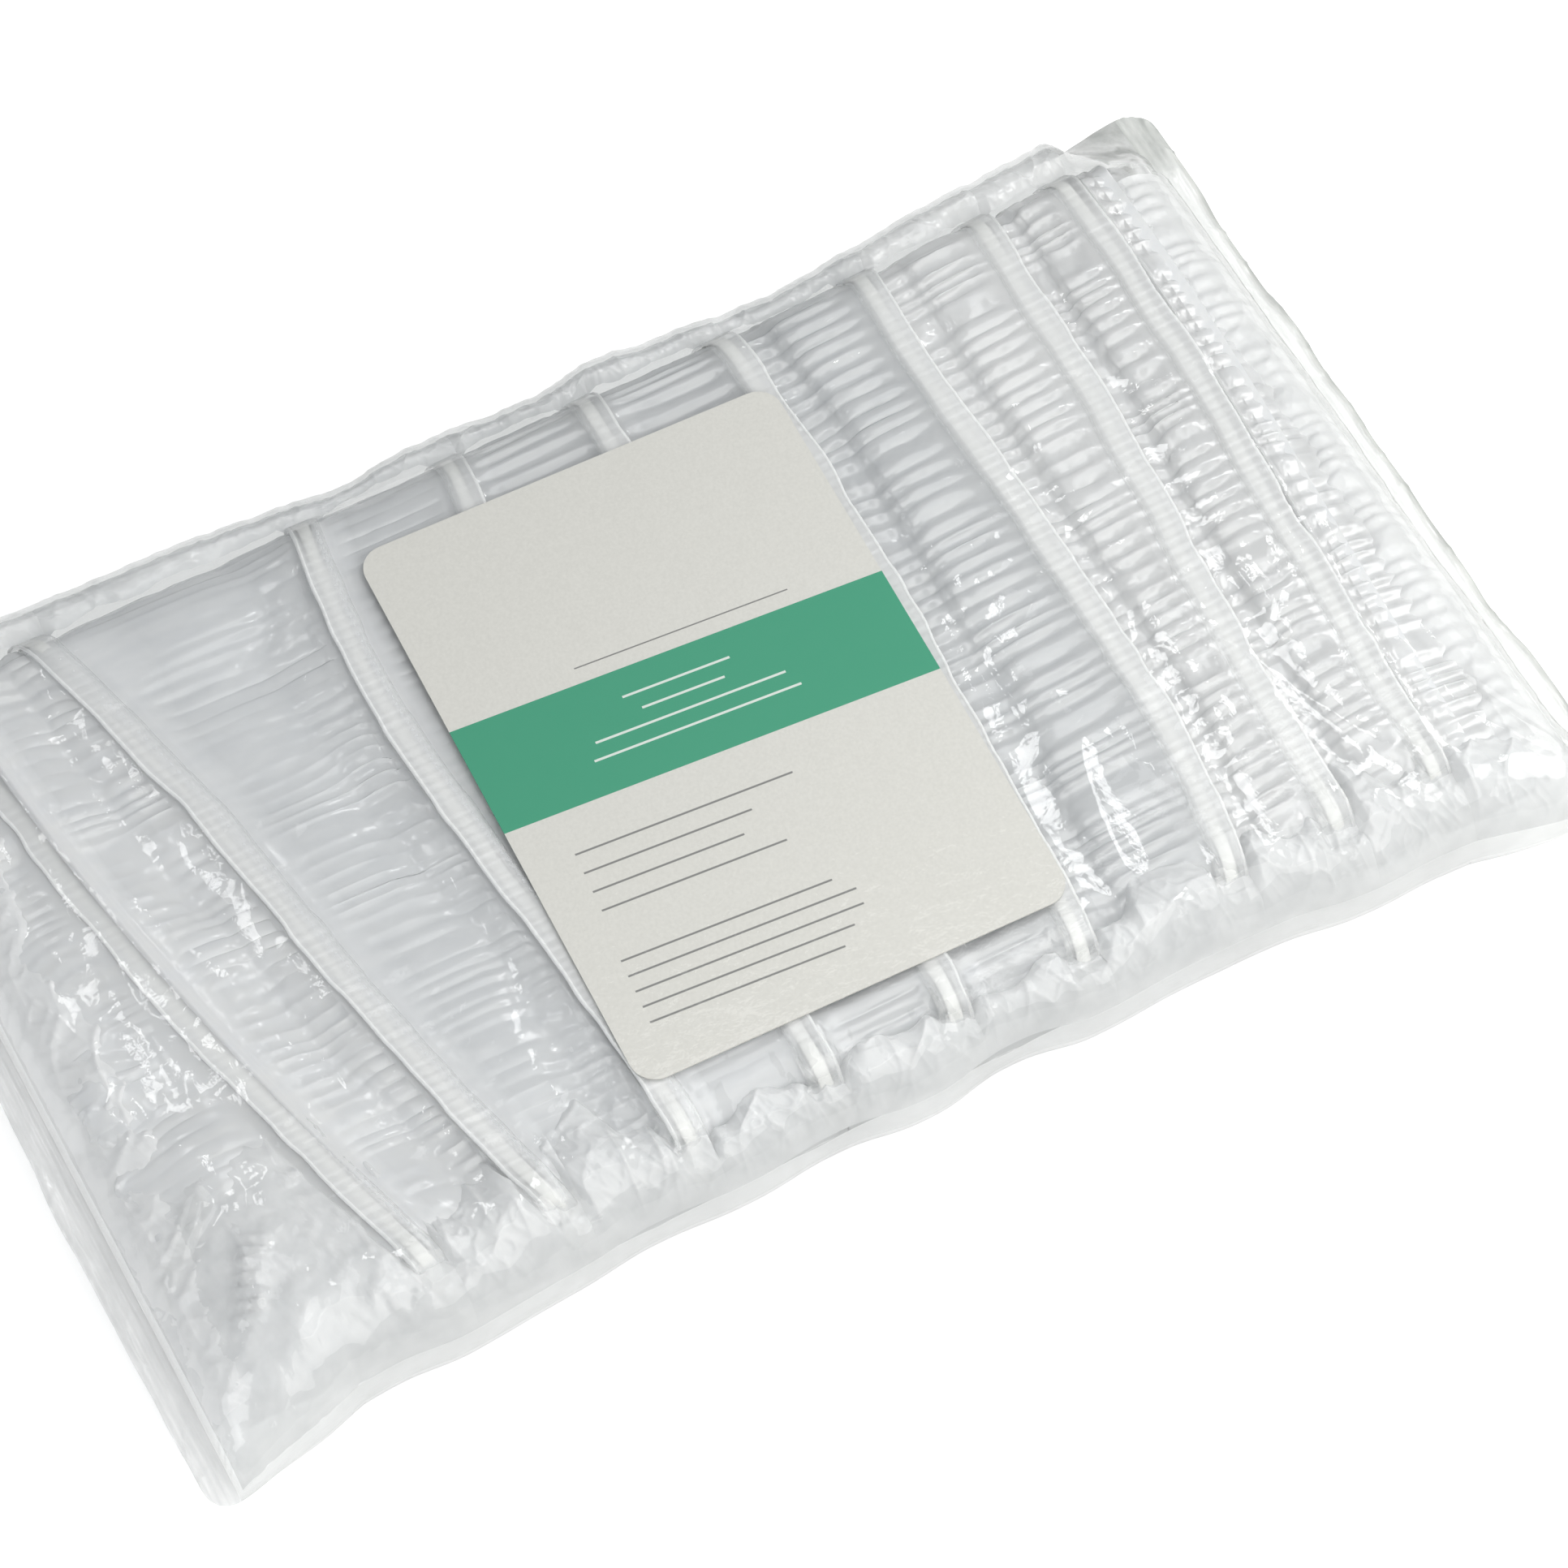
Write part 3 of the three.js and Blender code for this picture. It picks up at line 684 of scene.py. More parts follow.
def ruffled_layer(k, inset, share, rows, columns, seed):
    """One layer of a cap's gathered film, drawn in from the outer one."""
    seed = seed + k
    pitch = np.interp(k, (CAP_NUMBERS[0], CAP_NUMBERS[-1]), RUFFLE_PITCHES)
    patches = RUFFLE_PATCHES.get(k, RUFFLE_PATCH)
    y = np.linspace(-CAP_HALF, CAP_HALF, rows)[:, None]
    place = np.linspace(0, 1, columns)[None, :]
    left, right, top = strip_sides(k, y)
    mouth = right - HEM_WIDTH
    across, up, depth = smooth_path(strip_section(k), columns).T
    calm = np.minimum(depth, 1)
    sway = wander(y, k, 700 + k, *(SADDLE_SWAY if k in SADDLE_CREASES else STRIP_SWAY))
    across = across + sway * np.sin(math.pi * np.clip(across, 0, 1)) * ramp(up, *UPPER_SIDE)
    x = np.where(across < 1, left + across * (mouth - left), mouth + (across - 1) * HEM_WIDTH)
    if k == CAP_NUMBERS[-1]:
        top = roof(x, ROOF_MARGIN * y) - ROOF_GAP
    bottom = ground(x, y) + FLOOR_GAP
    z = bottom + up * (top - bottom)
    step_x = np.gradient(x, axis=1)
    step_z = np.gradient(z, axis=1)
    length = np.hypot(step_x, step_z)
    phase = ruffle_phase(y, pitch, k, k + 11) + patches * strip_wave("drift", y, place, k)
    swell = np.clip(RUFFLE_SWELL + patches * strip_wave("swell", y, place, seed), *RUFFLE_SWELLS)
    valley = 0.5 - 0.5 * np.cos(TURN * phase)
    sink = share * RUFFLE_SHARES.get(k, RUFFLE_SHARE) * RUFFLE_DEPTH * depth * swell * valley
    sink = sink + calm * strip_wave("crinkle", y, place, seed)
    sink = sink + calm * patches * strip_wave("sag", y, place, seed)
    if k == CAP_NUMBERS[0]:
        loose = loose_share(across, up, y)
        sink = sink * (1 - LOOSE_CALM * loose) - LOOSE_HEIGHT * crumples(x, y, 500) * loose
    pinch = np.where(y < 0, END_PINCH, FAR_PINCH)
    closing = fall(y, CAP_HALF, CAP_HALF - pinch)
    sink = sink + inset
    sink = sink + (1 - closing) * strip_wave("lumps", y, place, seed)
    sink = sink + (1 - closing) * creased(y, place, seed, *END_CREASES)
    sink = sink + ramp(np.abs(y), CAP_HALF - pinch, CAP_HALF) * creased(x, y, seed, *END_PLEATS)
    shift = pitch * calm * np.sin(TURN * phase) * strip_wave("shift", y, place, seed)
    z = SIDE_HEIGHT + (z + step_x / length * sink - SIDE_HEIGHT) * closing
    return np.stack([x - step_z / length * sink, y + shift, z], -1)


def loose_share(across, up, y):
    """One where the first strip's film is crumpled, towards the bag's end and its near corner."""
    corner = ramp(y, *LOOSE_CORNER) * ramp(across, *LOOSE_CORNER_ACROSS)
    return np.maximum(ramp(across, *LOOSE_END), corner) * ramp(up, *LOOSE_UP)


def line_places(x, y, start, end):
    """Share of the way along a line, distance aside of it and the line's length, for points in metres."""
    start = np.array(start) * MM
    run = np.array(end) * MM - start
    length = np.linalg.norm(run)
    along = ((x - start[0]) * run[0] + (y - start[1]) * run[1]) / length**2
    aside = ((x - start[0]) * run[1] - (y - start[1]) * run[0]) / length
    return along, aside, length


def line_run(along, steep):
    """One along a line and nought past its ends."""
    return np.clip(steep * along * (1 - along), 0, 1)


def rib_column(x, y):
    """Height of the short stretch of tight gathers in the first strip."""
    along, aside, length = line_places(x, y, *RIB_COLUMN)
    ends = line_run(along, RIB_STEEP)
    ribs = 0.6 + 0.4 * np.cos(TURN * along * length / RIB_PITCH)
    return RIB_HEIGHT * ends * ribs * np.exp(-((aside / RIB_HALF_WIDTH) ** 4))


def crumples(x, y, seed):
    """Height of crumpled film over a place."""
    tall, pitch_x, pitch_y, lean = CRUMPLE_LUMPS
    height = tall * noise((x + lean * y) / pitch_x, y / pitch_y, seed)
    return height + sum(creased(x, y, seed, *look) for look in CRUMPLE_CREASES)


def bunched_film(x, y, out, level, drop, rough):
    """A crumpled patch that comes up from under the film beside it and reaches the bag's edge at out = 1."""
    sunk = BUNCH_ROOM + BUNCH_TUCK * (1 - out) ** 4 + drop
    rise = (level - SIDE_HEIGHT) * (1 - sunk / (PACK_TOP - SIDE_HEIGHT))
    bumps = crumples(x, y, 220) * (1 - BUNCH_CALM * out) + out * creased(x, y, 0, *BUNCH_CREASES)
    z = SIDE_HEIGHT + BUNCH_LIFT + rise + rough * bumps * (1 - out**8)
    return np.stack([x, y, z], -1)


def hem_groove(k, x, y):
    """One along the hems beside strip k, short of their ends, and nought away from them."""
    share = 0 * x
    for rim in (k - 1, k):
        if rim in RIM_LINES:
            past = np.abs(RIM_LINES[rim](y) - HEM_WIDTH / 2 - x) - HEM_WIDTH / 2
            share = np.maximum(share, ramp(past, GROOVE_SIDE, 0))
    return share * ramp(np.abs(y), CAP_HALF, CAP_HALF - GROOVE_END)


def end_tuft(k, sign):
    """Film bunched at one end of a strip, spread as far as the bag's side."""
    u = np.linspace(0, 1, TUFT_GRID[0])[:, None]
    v = np.linspace(0, 1, TUFT_GRID[1])[None, :]
    left, right, _ = strip_sides(k, np.array([sign * (CAP_HALF - TUFT_REACH / 2)]))
    left = left - STRIP_GAP if k > CAP_NUMBERS[0] else EDGE_ROOM - SEAL_X
    if k == CAP_NUMBERS[-1]:
        right = SEAL_X - (EDGE_ROOM if sign < 0 else EAR_ROOM)
    x = left + u * (right - left) + 0 * v
    reach = NEAR_REACHES.get(k, TUFT_REACH) if sign < 0 else FAR_REACH
    start = CAP_HALF - reach + reach * wander(x, sign, 210, *TUFT_RAGGED)
    if sign < 0:
        start = start - CORNER_REACH * ramp(x, *CORNER_SPAN) ** 2
    side = np.abs(side_line(x, sign))
    y = start + v * (side - EDGE_ROOM - start)
    drop = TUFT_SIDE_DROP * (1 - np.sqrt(np.sin(math.pi * u)))
    drop = drop + HEM_GROOVE * hem_groove(k, x, sign * y)
    grid = bunched_film(x, sign * y, v, roof(x, y * half_width(x) / side), drop, 1.0)
    grid[..., 2] += rib_column(grid[..., 0], grid[..., 1])
    return grid


def end_pad(k, sign):
    """Film bunched between the row's first or last cap and the bag's seal."""
    y = np.linspace(-1, 1 if sign < 0 else PAD_FAR, PAD_GRID[0])[:, None] * CAP_HALF
    v = np.linspace(0, 1, PAD_GRID[1])[None, :]
    inner = ROW_LEFT + PAD_REACH if sign < 0 else RIM_LINES[k](y) - HEM_WIDTH - PAD_TUCK
    inner = inner + wander(y, 0, 270 + k, *PAD_RAGGED)
    x = inner + v * (sign * (SEAL_X - EDGE_ROOM) - inner)
    y = y + 0 * x
    if sign < 0:
        return bunched_film(x, y, v, roof(x, y), 0, 1.0)
    grid = bunched_film(x, y, v, roof(x, y), -PAD_LIFT, PAD_ROUGH)
    grid[..., 2] += PAD_RUFFLE * (1 - v) * np.cos(TURN * ruffle_phase(y, RUFFLE_PITCHES[1], 0, 290))
    return grid


def hem_side_share(k, rows, columns):
    """One where a strip's film starts beside a left-edged hem, and nought past the milky band there."""
    across, up, _ = smooth_path(strip_section(k), columns).T
    share = ramp(across, MILKY_SHARE, 0) * (up > UPPER_SIDE[0]) * (k - 1 in LEFT_EDGED_HEMS)
    return np.tile(share, (rows, 1))


def make_cap_film(k, film, core, end, pad):
    """Cap k's film: its gathered layers, its crumpled ends and, at the row's ends, a crumpled pad."""
    layers = [ruffled_layer(k, *layer) for layer in FILM_LAYERS]
    layers += [end_tuft(k, -1), end_tuft(k, 1)]
    if k == CAP_NUMBERS[0]:
        layers.append(end_pad(k, -1))
    if k == CAP_NUMBERS[-1]:
        layers.append(end_pad(k, 1))
    piece = grid_object(f"cap_{k:02d}_gathered_film", layers, [film, film, core, end, film, pad])
    shares = [0 * layer[..., 0] for layer in layers]
    shares[0] = hem_side_share(k, *FILM_LAYERS[0][2:4])
    set_edge_layer(piece, shares)
    return piece


HEM_END = 5 * MM  # from a strip's tip to where its hem starts to turn back
HEM_SPREAD = 6.4 * MM  # between the middles of its two runs
HEM_HALF_THICKNESS = 1.5 * MM
# Across, from 1 on the soft side to -1 on the folded side, and the share of the half thickness
HEM_RISE = ((1, 0.4), (0.8, 0.58), (0.4, 0.68), (-0.2, 0.74), (-0.65, 0.8), (-0.88, 0.82), (-1, 0.4))
HEM_ROWS = 460
HEM_COLUMNS = 29
HEM_BEAD = 0.5 * MM  # radius of the folded edge
BEAD_HEIGHT = 0.75  # its share of the half thickness
BEAD_COLUMNS = 9
HEM_WANDER = (0.5 * MM, 16 * MM)  # how far a hem strays, and the pitch
HEM_RAGGED = (0.08, 6 * MM)  # change of its width, and the pitch
HEM_PUCKER = 0.1  # change of its thickness at a pucker
PUCKER_PITCH = 2.3 * MM
PUCKER_DRIFT = (2, 5 * MM)  # unevenness of the puckers' steps, in radians, and its pitch
HEM_FADE = (22 * MM, 4 * MM)  # from a strip's tip: where a hem starts to turn clear and is clearest
SOFT_SIDE = (0.45, 0.95)  # the same across a hem, towards its soft side
ELASTIC_ROWS = 220
ELASTIC_UPPER = [(-1.6 * MM, 0.15 * MM), (-1.3 * MM, 0.45 * MM), (1.1 * MM, 0.45 * MM), (1.4 * MM, 0.15 * MM)]


def hem_path(count):
    """The rim's closed line, as its length so far, its places along y and its turn."""
    run = CAP_HALF - HEM_END
    radius = HEM_SPREAD / 2
    lengths = np.array([2 * run, math.pi * radius, 2 * run, math.pi * radius])
    s = np.linspace(0, lengths.sum(), count, endpoint=False)
    a, b, c = np.cumsum(lengths)[:3]
    parts = [s < a, s < b, s < c]
    angle = np.select(parts, [0 * s, (s - a) / radius, 0 * s + math.pi], math.pi + (s - c) / radius)
    y = np.select(parts, [s - run, 0 * s + run, run - (s - b)], -run)
    return s, y + radius * np.sin(angle), angle


def rim_grid(k, section, count, pucker):
    """A section swept round a cap's rim."""
    s, y, angle = hem_path(count)
    _, right, top = strip_sides(k, np.clip(y, -CAP_HALF, CAP_HALF))
    z = top - HEM_HALF_THICKNESS - HEM_SPREAD / 2 + HEM_SPREAD / 2 * np.cos(angle)
    z = SIDE_HEIGHT + (z - SIDE_HEIGHT) * fall(y, CAP_HALF, CAP_HALF - HEM_PINCH)
    across, out = np.array(section).T
    ripple = 1 + pucker * np.sin(TURN * s / PUCKER_PITCH + wander(s, 0, 102 + k, *PUCKER_DRIFT))
    edge = 1 + wander(s, 7, 120 + k, *HEM_RAGGED)
    centre = right - HEM_WIDTH / 2 + wander(y, k, 101, *HEM_WANDER)
    return np.stack(
        [
            centre[:, None] + across * edge[:, None],
            y[:, None] + out * (np.sin(angle) * ripple)[:, None],
            z[:, None] + out * (np.cos(angle) * ripple)[:, None],
        ],
        -1,
    )


def closed_section(upper):
    """A section from its upper side, mirrored for the lower one."""
    return upper + [(across, -up) for across, up in reversed(upper)]


def make_hem(k, material, edge_material):
    """Cap k's hem: a flat folded tube, with a bead along its folded edge."""
    half = HEM_WIDTH / 2
    thick = HEM_HALF_THICKNESS
    side = -1 if k in LEFT_EDGED_HEMS else 1
    upper = [(-side * across * half, up * thick) for across, up in HEM_RISE[::side]]
    section = smooth_path(closed_section(upper), HEM_COLUMNS)
    turn = np.linspace(math.pi, 0, BEAD_COLUMNS)
    bead_x = side * (half - HEM_BEAD) + HEM_BEAD * np.cos(turn)
    bead = np.stack([bead_x, BEAD_HEIGHT * thick + HEM_BEAD * (np.sin(turn) - 0.5)], -1)
    grids = [rim_grid(k, line, HEM_ROWS, HEM_PUCKER) for line in (section, bead)]
    piece = grid_object(f"cap_{k:02d}_folded_hem", grids, [material, edge_material], closed_rows=True)
    reach = np.abs(hem_path(HEM_ROWS)[1])[:, None]
    ends = ramp(reach, CAP_HALF - HEM_FADE[0], CAP_HALF - HEM_FADE[1])
    soft = ramp(-side * section[:, 0] / half, *SOFT_SIDE)
    set_edge_layer(piece, [1 - (1 - soft) * (1 - ends), ends + 0 * bead_x])
    return piece


def make_elastic(k, material):
    grid = rim_grid(k, closed_section(ELASTIC_UPPER), ELASTIC_ROWS, 0.0)
    return grid_object(f"cap_{k:02d}_elastic_band", [grid], [material], closed_rows=True, closed_columns=True)


# Bag

EDGE_REACH = 22 * MM  # stretch over which the panels turn hazy and grey with painted shade towards the right seal
FAR_SIDE_STEEP = 9  # how steeply the film turns hazy and grey with painted shade towards the bag's far side
NEAR_SIDE_STEEP = 14  # the same towards its near side
EAR_X = (142 * MM, 156 * MM)  # where the far right ear's painted shade starts along the bag
EAR_Y = (86 * MM, 96 * MM)  # the same across it
EAR_PAINTED_SHADE = 2.6  # the ear's grey haze, painted shade, as a share of the usual edge haze
FRONT_GRID = (360, 240)
BACK_GRID = (200, 120)
SEAL_GRID = (24, 300)
SIDE_WANDER = (1.6 * MM, 22 * MM)  # how far the bag's sides stray, and the pitch
END_WANDER = (1.2 * MM, 35 * MM)  # how far its ends rise and dip, and the pitch
END_REACH = 25 * MM  # stretch over which the panels follow that
FILM_ROOM = 0.3 * MM  # between the front film and what lies under it
DRAPE_CELL = 1.0 * MM
DRAPE_PULL = 0.003 * MM  # how far the film is drawn down at each step
DRAPE_STEPS = 700
BLUR_STEPS = 40
SIDE_BAND = 2 * MM  # stretch in which the film comes down to the bag's side line
CARD_BAND = 6 * MM  # stretch round the card over which the creases grow
SIDE_CALM = 6  # how steeply the creases die away towards the sides
GLINT_PATCHES = (1.6, 24 * MM)  # how clear-cut the patches of small creases are, and their pitch
SIDE_RIPPLE = (0.8 * MM, 7 * MM, 40 * MM)  # height and pitches of the ripples along the sides
SIDE_RIPPLE_STEEP = 5  # how steeply they grow towards the sides
BACK_LOWEST = 0.2 * MM
SEAL_LOWEST = 0.3 * MM
SEAL_CORNER = 7 * MM  # radius of a seal's corners
SEAL_CRIMP = (0.12 * MM, 2 * MM)  # height and pitch of the crimps
SEAL_BUCKLE = (1.1 * MM, 13 * MM, 1.5)  # height of the buckles, pitch along a seal, bumps across it
SEAL_RAGGED = (0.8 * MM, 17 * MM)  # waver of a seal's outer edge, and its pitch
SEAL_EDGE = (0.7, 0.9)  # shares of its width where it turns hazier, on the right seal with painted shade
FOLD_BOW = 1.5 * MM  # how far a long fold bows aside
FOLD_STEEP = 8  # how fast a fold starts and stops
TAUT_ROOM = 3  # stretch beside a fold in which the film is taut, in millimetres
FILM_FOLDS = (
    # start and end in millimetres, height, half width, haze
    ((69, -41), (60, -84), 0.44, 2.5, 0.0),
    ((112, -50), (117, -82), 0.32, 2.4, 0.0),
    ((-168, -66), (-149, -51), 2.6, 2.6, 0.5),
    ((-160, 60), (-135, 88), 1.5, 2.6, 0.0),
    ((150, -68), (167, -97), 1.8, 2.8, 0.5),
    ((148, 74), (168, 99), 1.6, 2.6, 0.3),
    ((-44, 87), (34, 85), 0.9, 1.8, 0.4),
    ((-120, -40), (-104, -84), 1.0, 2.0, 0.0),
)


def past_card(x, y):
    """How far a place lies outside the card's edges. It is below nought over the card."""
    off = np.stack([x - CARD_MIDDLE[0], y - CARD_MIDDLE[1]], -1)
    return np.maximum(np.abs(off @ CARD_ACROSS) - CARD_WIDTH / 2, np.abs(off @ CARD_UP) - CARD_HEIGHT / 2)


def neighbour_mean(values):
    return (values[:-2, 1:-1] + values[2:, 1:-1] + values[1:-1, :-2] + values[1:-1, 2:]) / 4


def drape(pieces):
    """Height of the front film, drawn down over the pieces under it, on a grid of cells."""
    x = np.arange(-SEAL_X, SEAL_X + DRAPE_CELL, DRAPE_CELL)
    reach = bag_reaches.max() + 2 * DRAPE_CELL
    y = np.arange(-reach, reach + DRAPE_CELL, DRAPE_CELL)
    height = np.zeros((len(x), len(y)))
    for piece in pieces:
        points = mesh_points(piece.data)
        i = np.clip(np.round((points[:, 0] - x[0]) / DRAPE_CELL).astype(int), 0, len(x) - 1)
        j = np.clip(np.round((points[:, 1] - y[0]) / DRAPE_CELL).astype(int), 0, len(y) - 1)
        np.maximum.at(height, (i, j), points[:, 2])
    gx, gy = np.meshgrid(x, y, indexing="ij")
    height = np.where(past_card(gx, gy) < 0, np.maximum(height, CARD_TOP), height) + FILM_ROOM
    beside_x = np.maximum(height[:-2], height[2:])
    beside_y = np.maximum(height[:, :-2], height[:, 2:])
    height[1:-1] = np.maximum(height[1:-1], beside_x)
    height[:, 1:-1] = np.maximum(height[:, 1:-1], beside_y)
    side = side_reach(gx, gy)
    outside = np.abs(gy) >= side + DRAPE_CELL / 2
    film = roof(gx, gy * half_width(gx) / side)
    for _ in range(DRAPE_STEPS):
        film[1:-1, 1:-1] = np.maximum(neighbour_mean(film) - DRAPE_PULL, height[1:-1, 1:-1])
        film[outside] = SIDE_HEIGHT
        film[0] = film[-1] = SIDE_HEIGHT
    return x, y, film


def sample(field, px, py):
    """A field's values at places between its cells."""
    x, y, values = field
    fx = np.clip((px - x[0]) / (x[1] - x[0]), 0, len(x) - 1.001)
    fy = np.clip((py - y[0]) / (y[1] - y[0]), 0, len(y) - 1.001)
    i = fx.astype(int)
    j = fy.astype(int)
    u = fx - i
    v = fy - j
    low = values[i, j] * (1 - u) + values[i + 1, j] * u
    high = values[i, j + 1] * (1 - u) + values[i + 1, j + 1] * u
    return low * (1 - v) + high * v


def side_line(x, sign):
    """The bag's wavering side, on one side of its middle line."""
    return sign * (half_width(x) + wander(x, 3 * sign, 140, *SIDE_WANDER))


def side_reach(x, y):
    """How far the bag's wavering side lies from its middle line, on y's side."""
    return np.where(y < 0, -side_line(x, -1), side_line(x, 1))


def end_wave(y, sign):
    """Rise and dip of the bag's end along y."""
    return wander(y, 5 * sign, 141, *END_WANDER)


def side_spread(columns):
    """Even steps from -1 to 1, and the same steps drawn together towards both sides."""
    t = np.linspace(-1, 1, columns)[None, :]
    return t, 0.55 * t + 0.45 * np.sin(math.pi * t / 2)


def bag_grid(rows, columns):
    """Places on a panel, the rise and dip of its ends, and steps from side to side."""
    x = np.linspace(-SEAL_X, SEAL_X, rows)[:, None]
    t, spread = side_spread(columns)
    y = np.where(spread < 0, -spread * side_line(x, -1), spread * side_line(x, 1))
    wave = end_wave(y, np.sign(x)) * ramp(np.abs(x), SEAL_X - END_REACH, SEAL_X) ** 2
    return x + 0 * y, y, wave, t


def film_folds(x, y):
    """Height, haze and tautness of the long folds in the front film."""
    height, haze, taut = 0 * x, 0 * x, 0 * x
    for start, end, tall, half, milky in FILM_FOLDS:
        along, aside, _ = line_places(x, y, start, end)
        bow = np.abs(aside - FOLD_BOW * np.sin(math.pi * along))
        run = line_run(along, FOLD_STEEP)
        share = run * np.exp(-((bow / (half * MM)) ** 2))
        height = height + tall * MM * share
        haze = haze + milky * share
        taut = np.maximum(taut, run * np.exp(-((bow / ((half + TAUT_ROOM) * MM)) ** 4)))
    return height, haze, taut


def blurred(values):
    """A field evened out over a few cells."""
    for _ in range(BLUR_STEPS):
        values = np.pad(neighbour_mean(values), 1, mode="edge")
    return values


def edge_share(x, t):
    """How near a place on a panel is to the panel's folded sides or its right end, where the film's grey haze
    is painted shade.
    """
    side = np.abs(t) ** np.where(t > 0, FAR_SIDE_STEEP, NEAR_SIDE_STEEP)
    end = ramp(x, SEAL_X - EDGE_REACH, SEAL_X) ** 2
    return np.clip(side + end, 0, 1)


def ear_shade_share(x, y):
    """One on the far right ear, where the film stands doubled and its grey haze is painted shade, and nought
    elsewhere.
    """
    return ramp(x, *EAR_X) * ramp(y, *EAR_Y)


def make_front_film(field, material):
    """The front panel: the draped field with creases, long folds and rippled sides."""
    x, y, wave, t = bag_grid(*FRONT_GRID)
    folds, fold_haze, taut = film_folds(x, y)
    even = sample((field[0], field[1], blurred(field[2])), x, y) + FILM_ROOM
    z = sample(field, x, y)
    z = z + taut * (even - z)
    margin = ramp(side_reach(x, y) - np.abs(y), 0, SIDE_BAND)
    z = SIDE_HEIGHT + (z - SIDE_HEIGHT) * np.sqrt(margin)
    wrinkle = sum(creased(x, y, 0, *look) for look in FRONT_CREASES)
    clear_cut, pitch = GLINT_PATCHES
    glints = np.clip(clear_cut * noise(x / pitch, y / pitch, 156), 0, 1)
    wrinkle = wrinkle + glints * creased(x, y, 0, *GLINT_CREASES)
    wrinkle = wrinkle * ramp(past_card(x, y), 0, CARD_BAND) * (1 - taut) + folds
    tall, pitch_x, pitch_y = SIDE_RIPPLE
    ripple = tall * noise(x / pitch_x, y / pitch_y, 153)
    wrinkle = wrinkle + np.abs(t) ** SIDE_RIPPLE_STEEP * ripple
    z = z + wrinkle * (1 - np.abs(t) ** SIDE_CALM) + wave
    piece = grid_object("bag_front_draped_film", [np.stack([x, y, z], -1)], [material])
    # grey haze along the sides, the right end and the far right ear is painted shade
    set_edge_layer(piece, [np.clip(edge_share(x, t) + fold_haze, 0, 1) + EAR_PAINTED_SHADE * ear_shade_share(x, y)])
    return piece


def make_back_film(material):
    """The back panel, flat on the floor and lightly creased."""
    x, y, wave, t = bag_grid(*BACK_GRID)
    z = ground(x, y * half_width(x) / side_reach(x, y))
    z = z + creased(x, y, 0, *BACK_CREASES) * (1 - np.abs(t) ** SIDE_CALM) + wave
    grid = np.stack([x, y, np.maximum(z, BACK_LOWEST)], -1)
    piece = grid_object("bag_back_draped_film", [grid], [material])
    # grey haze along the sides and the right end is painted shade
    set_edge_layer(piece, [edge_share(x, t)])
    return piece


def make_seal(name, sign, material):
    """A sealed end: a crimped and buckled band with round corners and a ragged edge."""
    x = sign * np.linspace(SEAL_X, END_X, SEAL_GRID[0])[:, None]
    _, spread = side_spread(SEAL_GRID[1])
    out = (np.abs(x) - SEAL_X) / (END_X - SEAL_X)
    cut = SEAL_CORNER * (1 - np.sqrt(1 - ramp(np.abs(x), END_X - SEAL_CORNER, END_X) ** 2))
    ends = sign * SEAL_X + 0 * x
    y = np.where(spread < 0, -spread * (side_line(ends, -1) + cut), spread * (side_line(ends, 1) - cut))
    tall, pitch = SEAL_CRIMP
    crimp = tall * np.sin(TURN * (np.abs(x) - SEAL_X) / pitch)
    tall, pitch, bumps = SEAL_BUCKLE
    buckle = tall * noise(y / pitch, bumps * out, 170 + sign) + creased(y, out, sign, *SEAL_CREASES)
    z = np.maximum(SIDE_HEIGHT + end_wave(y, sign) + crimp + buckle * out, SEAL_LOWEST)
    tuck = sign * out * (wander(y, sign, 176, *SEAL_RAGGED) - SEAL_RAGGED[0])
    piece = grid_object(name, [np.stack([x + tuck, y, z], -1)], [material])
    # haze at a seal's outer edge and on the ear; with the right seal's dark tones it is painted shade
    set_edge_layer(piece, [np.maximum(ear_shade_share(x, y), ramp(out, *SEAL_EDGE))])
    return piece


# Studio


def make_camera():
    data = bpy.data.cameras.new("camera")
    data.sensor_width = CAMERA_SENSOR
    data.lens = CAMERA_LENS
    camera = bpy.data.objects.new("camera", data)
    turned = Matrix.Rotation(CAMERA_AZIMUTH, 4, "Z")
    turned = turned @ Matrix.Rotation(math.pi / 2 - CAMERA_ELEVATION, 4, "X")
    turned = turned @ Matrix.Rotation(CAMERA_ROLL, 4, "Z")
    back = Matrix.Translation((0, 0, CAMERA_DISTANCE))
    camera.matrix_world = Matrix.Translation(CAMERA_TARGET) @ turned @ back
    bpy.context.scene.collection.objects.link(camera)
    bpy.context.scene.camera = camera


def add_area_light(name, place, size, power, colour):
    data = bpy.data.lights.new(name, "AREA")
    data.shape = "RECTANGLE"
    data.size, data.size_y = size
    data.energy = power
    data.color = colour
    light = bpy.data.objects.new(name, data)
    light.location = place
    light.visible_camera = False
    light.rotation_euler = (LIGHT_TARGET - Vector(place)).to_track_quat("-Z", "Y").to_euler()
    bpy.context.scene.collection.objects.link(light)


def add_seen_share(tree):
    """One for rays from the camera, a mirroring surface or glass, and nought for rays that carry light."""
    seen = tree.nodes.new("ShaderNodeLightPath").outputs
    shown = add_math(tree, "MAXIMUM", seen["Is Camera Ray"], seen["Is Glossy Ray"])
    return add_math(tree, "MAXIMUM", shown, seen["Is Transmission Ray"])


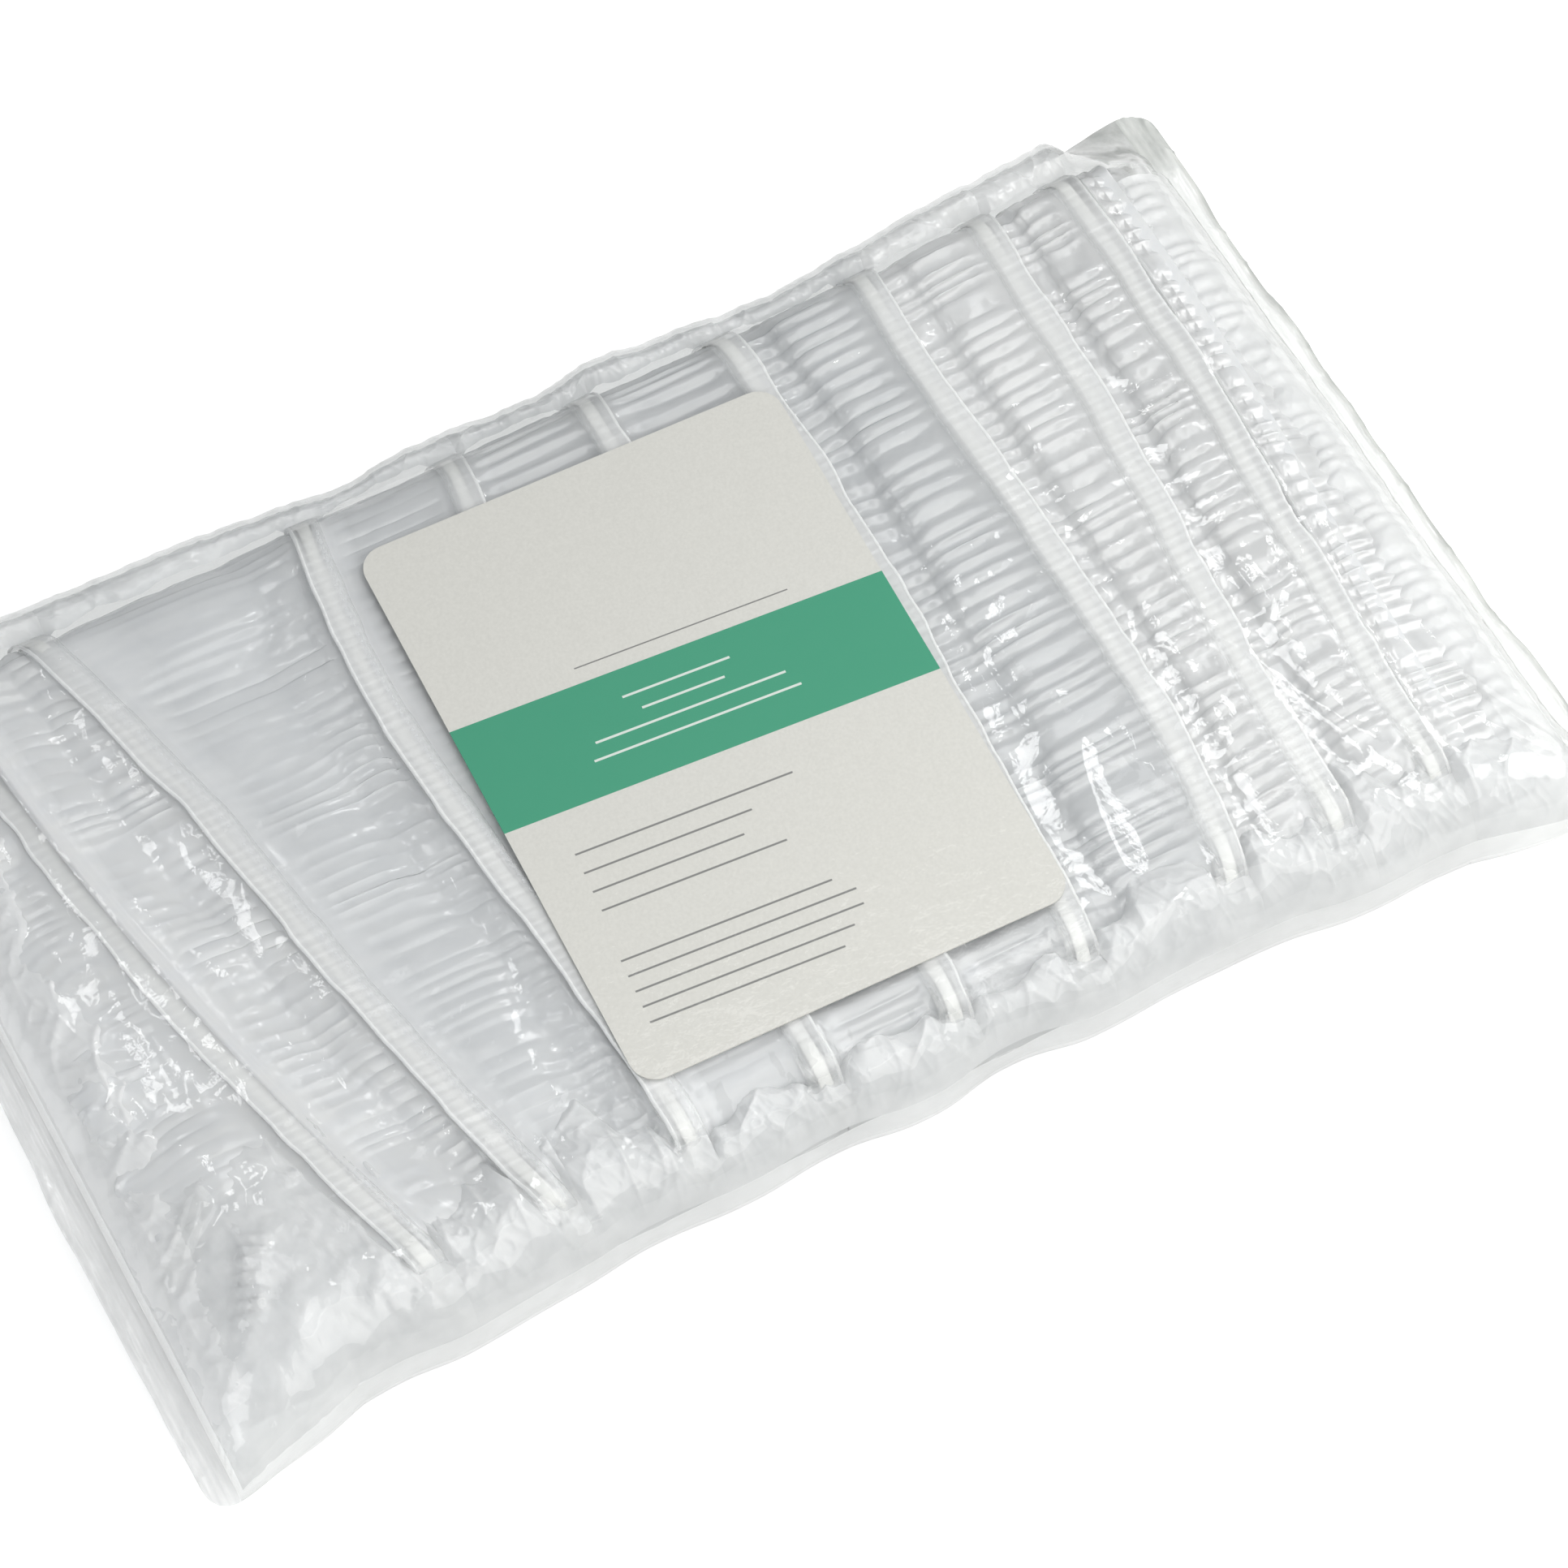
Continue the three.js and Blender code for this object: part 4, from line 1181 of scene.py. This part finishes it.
def make_floor():
    material, tree, output = new_material("floor")
    white = add_node(tree, "ShaderNodeBsdfDiffuse", Color=FLOOR_COLOUR)
    lift = add_node(tree, "ShaderNodeEmission", Color=(1, 1, 1, 1))
    tree.links.new(add_math(tree, "MULTIPLY", add_seen_share(tree), FLOOR_LIFT), lift.inputs["Strength"])
    added = tree.nodes.new("ShaderNodeAddShader")
    tree.links.new(white.outputs[0], added.inputs[0])
    tree.links.new(lift.outputs[0], added.inputs[1])
    tree.links.new(added.outputs[0], output.inputs["Surface"])
    size = FLOOR_HALF
    corners = np.array([[[size, -size, 0], [size, size, 0]], [[-size, -size, 0], [-size, size, 0]]], float)
    grid_object("floor", [corners], [material])


def make_world():
    world = bpy.data.worlds.new("studio")
    bpy.context.scene.world = world
    world.use_nodes = True
    tree = world.node_tree
    background = tree.nodes["Background"]
    background.inputs["Color"].default_value = WORLD_COLOUR
    background.inputs["Strength"].default_value = WORLD_LIGHT


def make_light():
    make_world()
    for light in LIGHTS:
        add_area_light(*light)
    bpy.context.scene.cycles.transparent_max_bounces = CLEAR_LAYERS
    bpy.context.scene.view_settings.view_transform = "Standard"


def stand_in(piece, node):
    """Puts a piece on the part's one body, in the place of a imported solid."""
    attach(piece, "root")
    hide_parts(node)


def build():
    make_camera()
    make_floor()
    make_light()
    films = {look[0]: film_material(*look) for look in FILMS}
    elastic = elastic_material()
    under_film = []
    for k in CAP_NUMBERS:
        looks = (CAP_FILM_NAMES[k - 1], "cap_core_film", "cap_end_film", "cap_pad_film")
        film = make_cap_film(k, *(films[look] for look in looks))
        hem = make_hem(k, films["hem_film"], films["hem_edge_film"])
        band = make_elastic(k, elastic)
        under_film += [film, hem]
        stand_in(film, f"cap_{k:02d}_film")
        stand_in(hem, f"cap_{k:02d}_hem")
        stand_in(band, f"cap_{k:02d}_elastic")
    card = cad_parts["insert_card"].data
    card.materials.clear()
    card.materials.append(card_material())
    front = make_front_film(drape(under_film), films["bag_film"])
    back = make_back_film(films["bag_film"])
    left = make_seal("bag_left_seal_band", -1, films["bag_left_seal_film"])
    right = make_seal("bag_right_seal_band", 1, films["bag_right_seal_painted_shade_film"])
    stand_in(front, "bag_front_film")
    stand_in(back, "bag_back_film")
    stand_in(left, "bag_left_seal")
    stand_in(right, "bag_right_seal")


build()
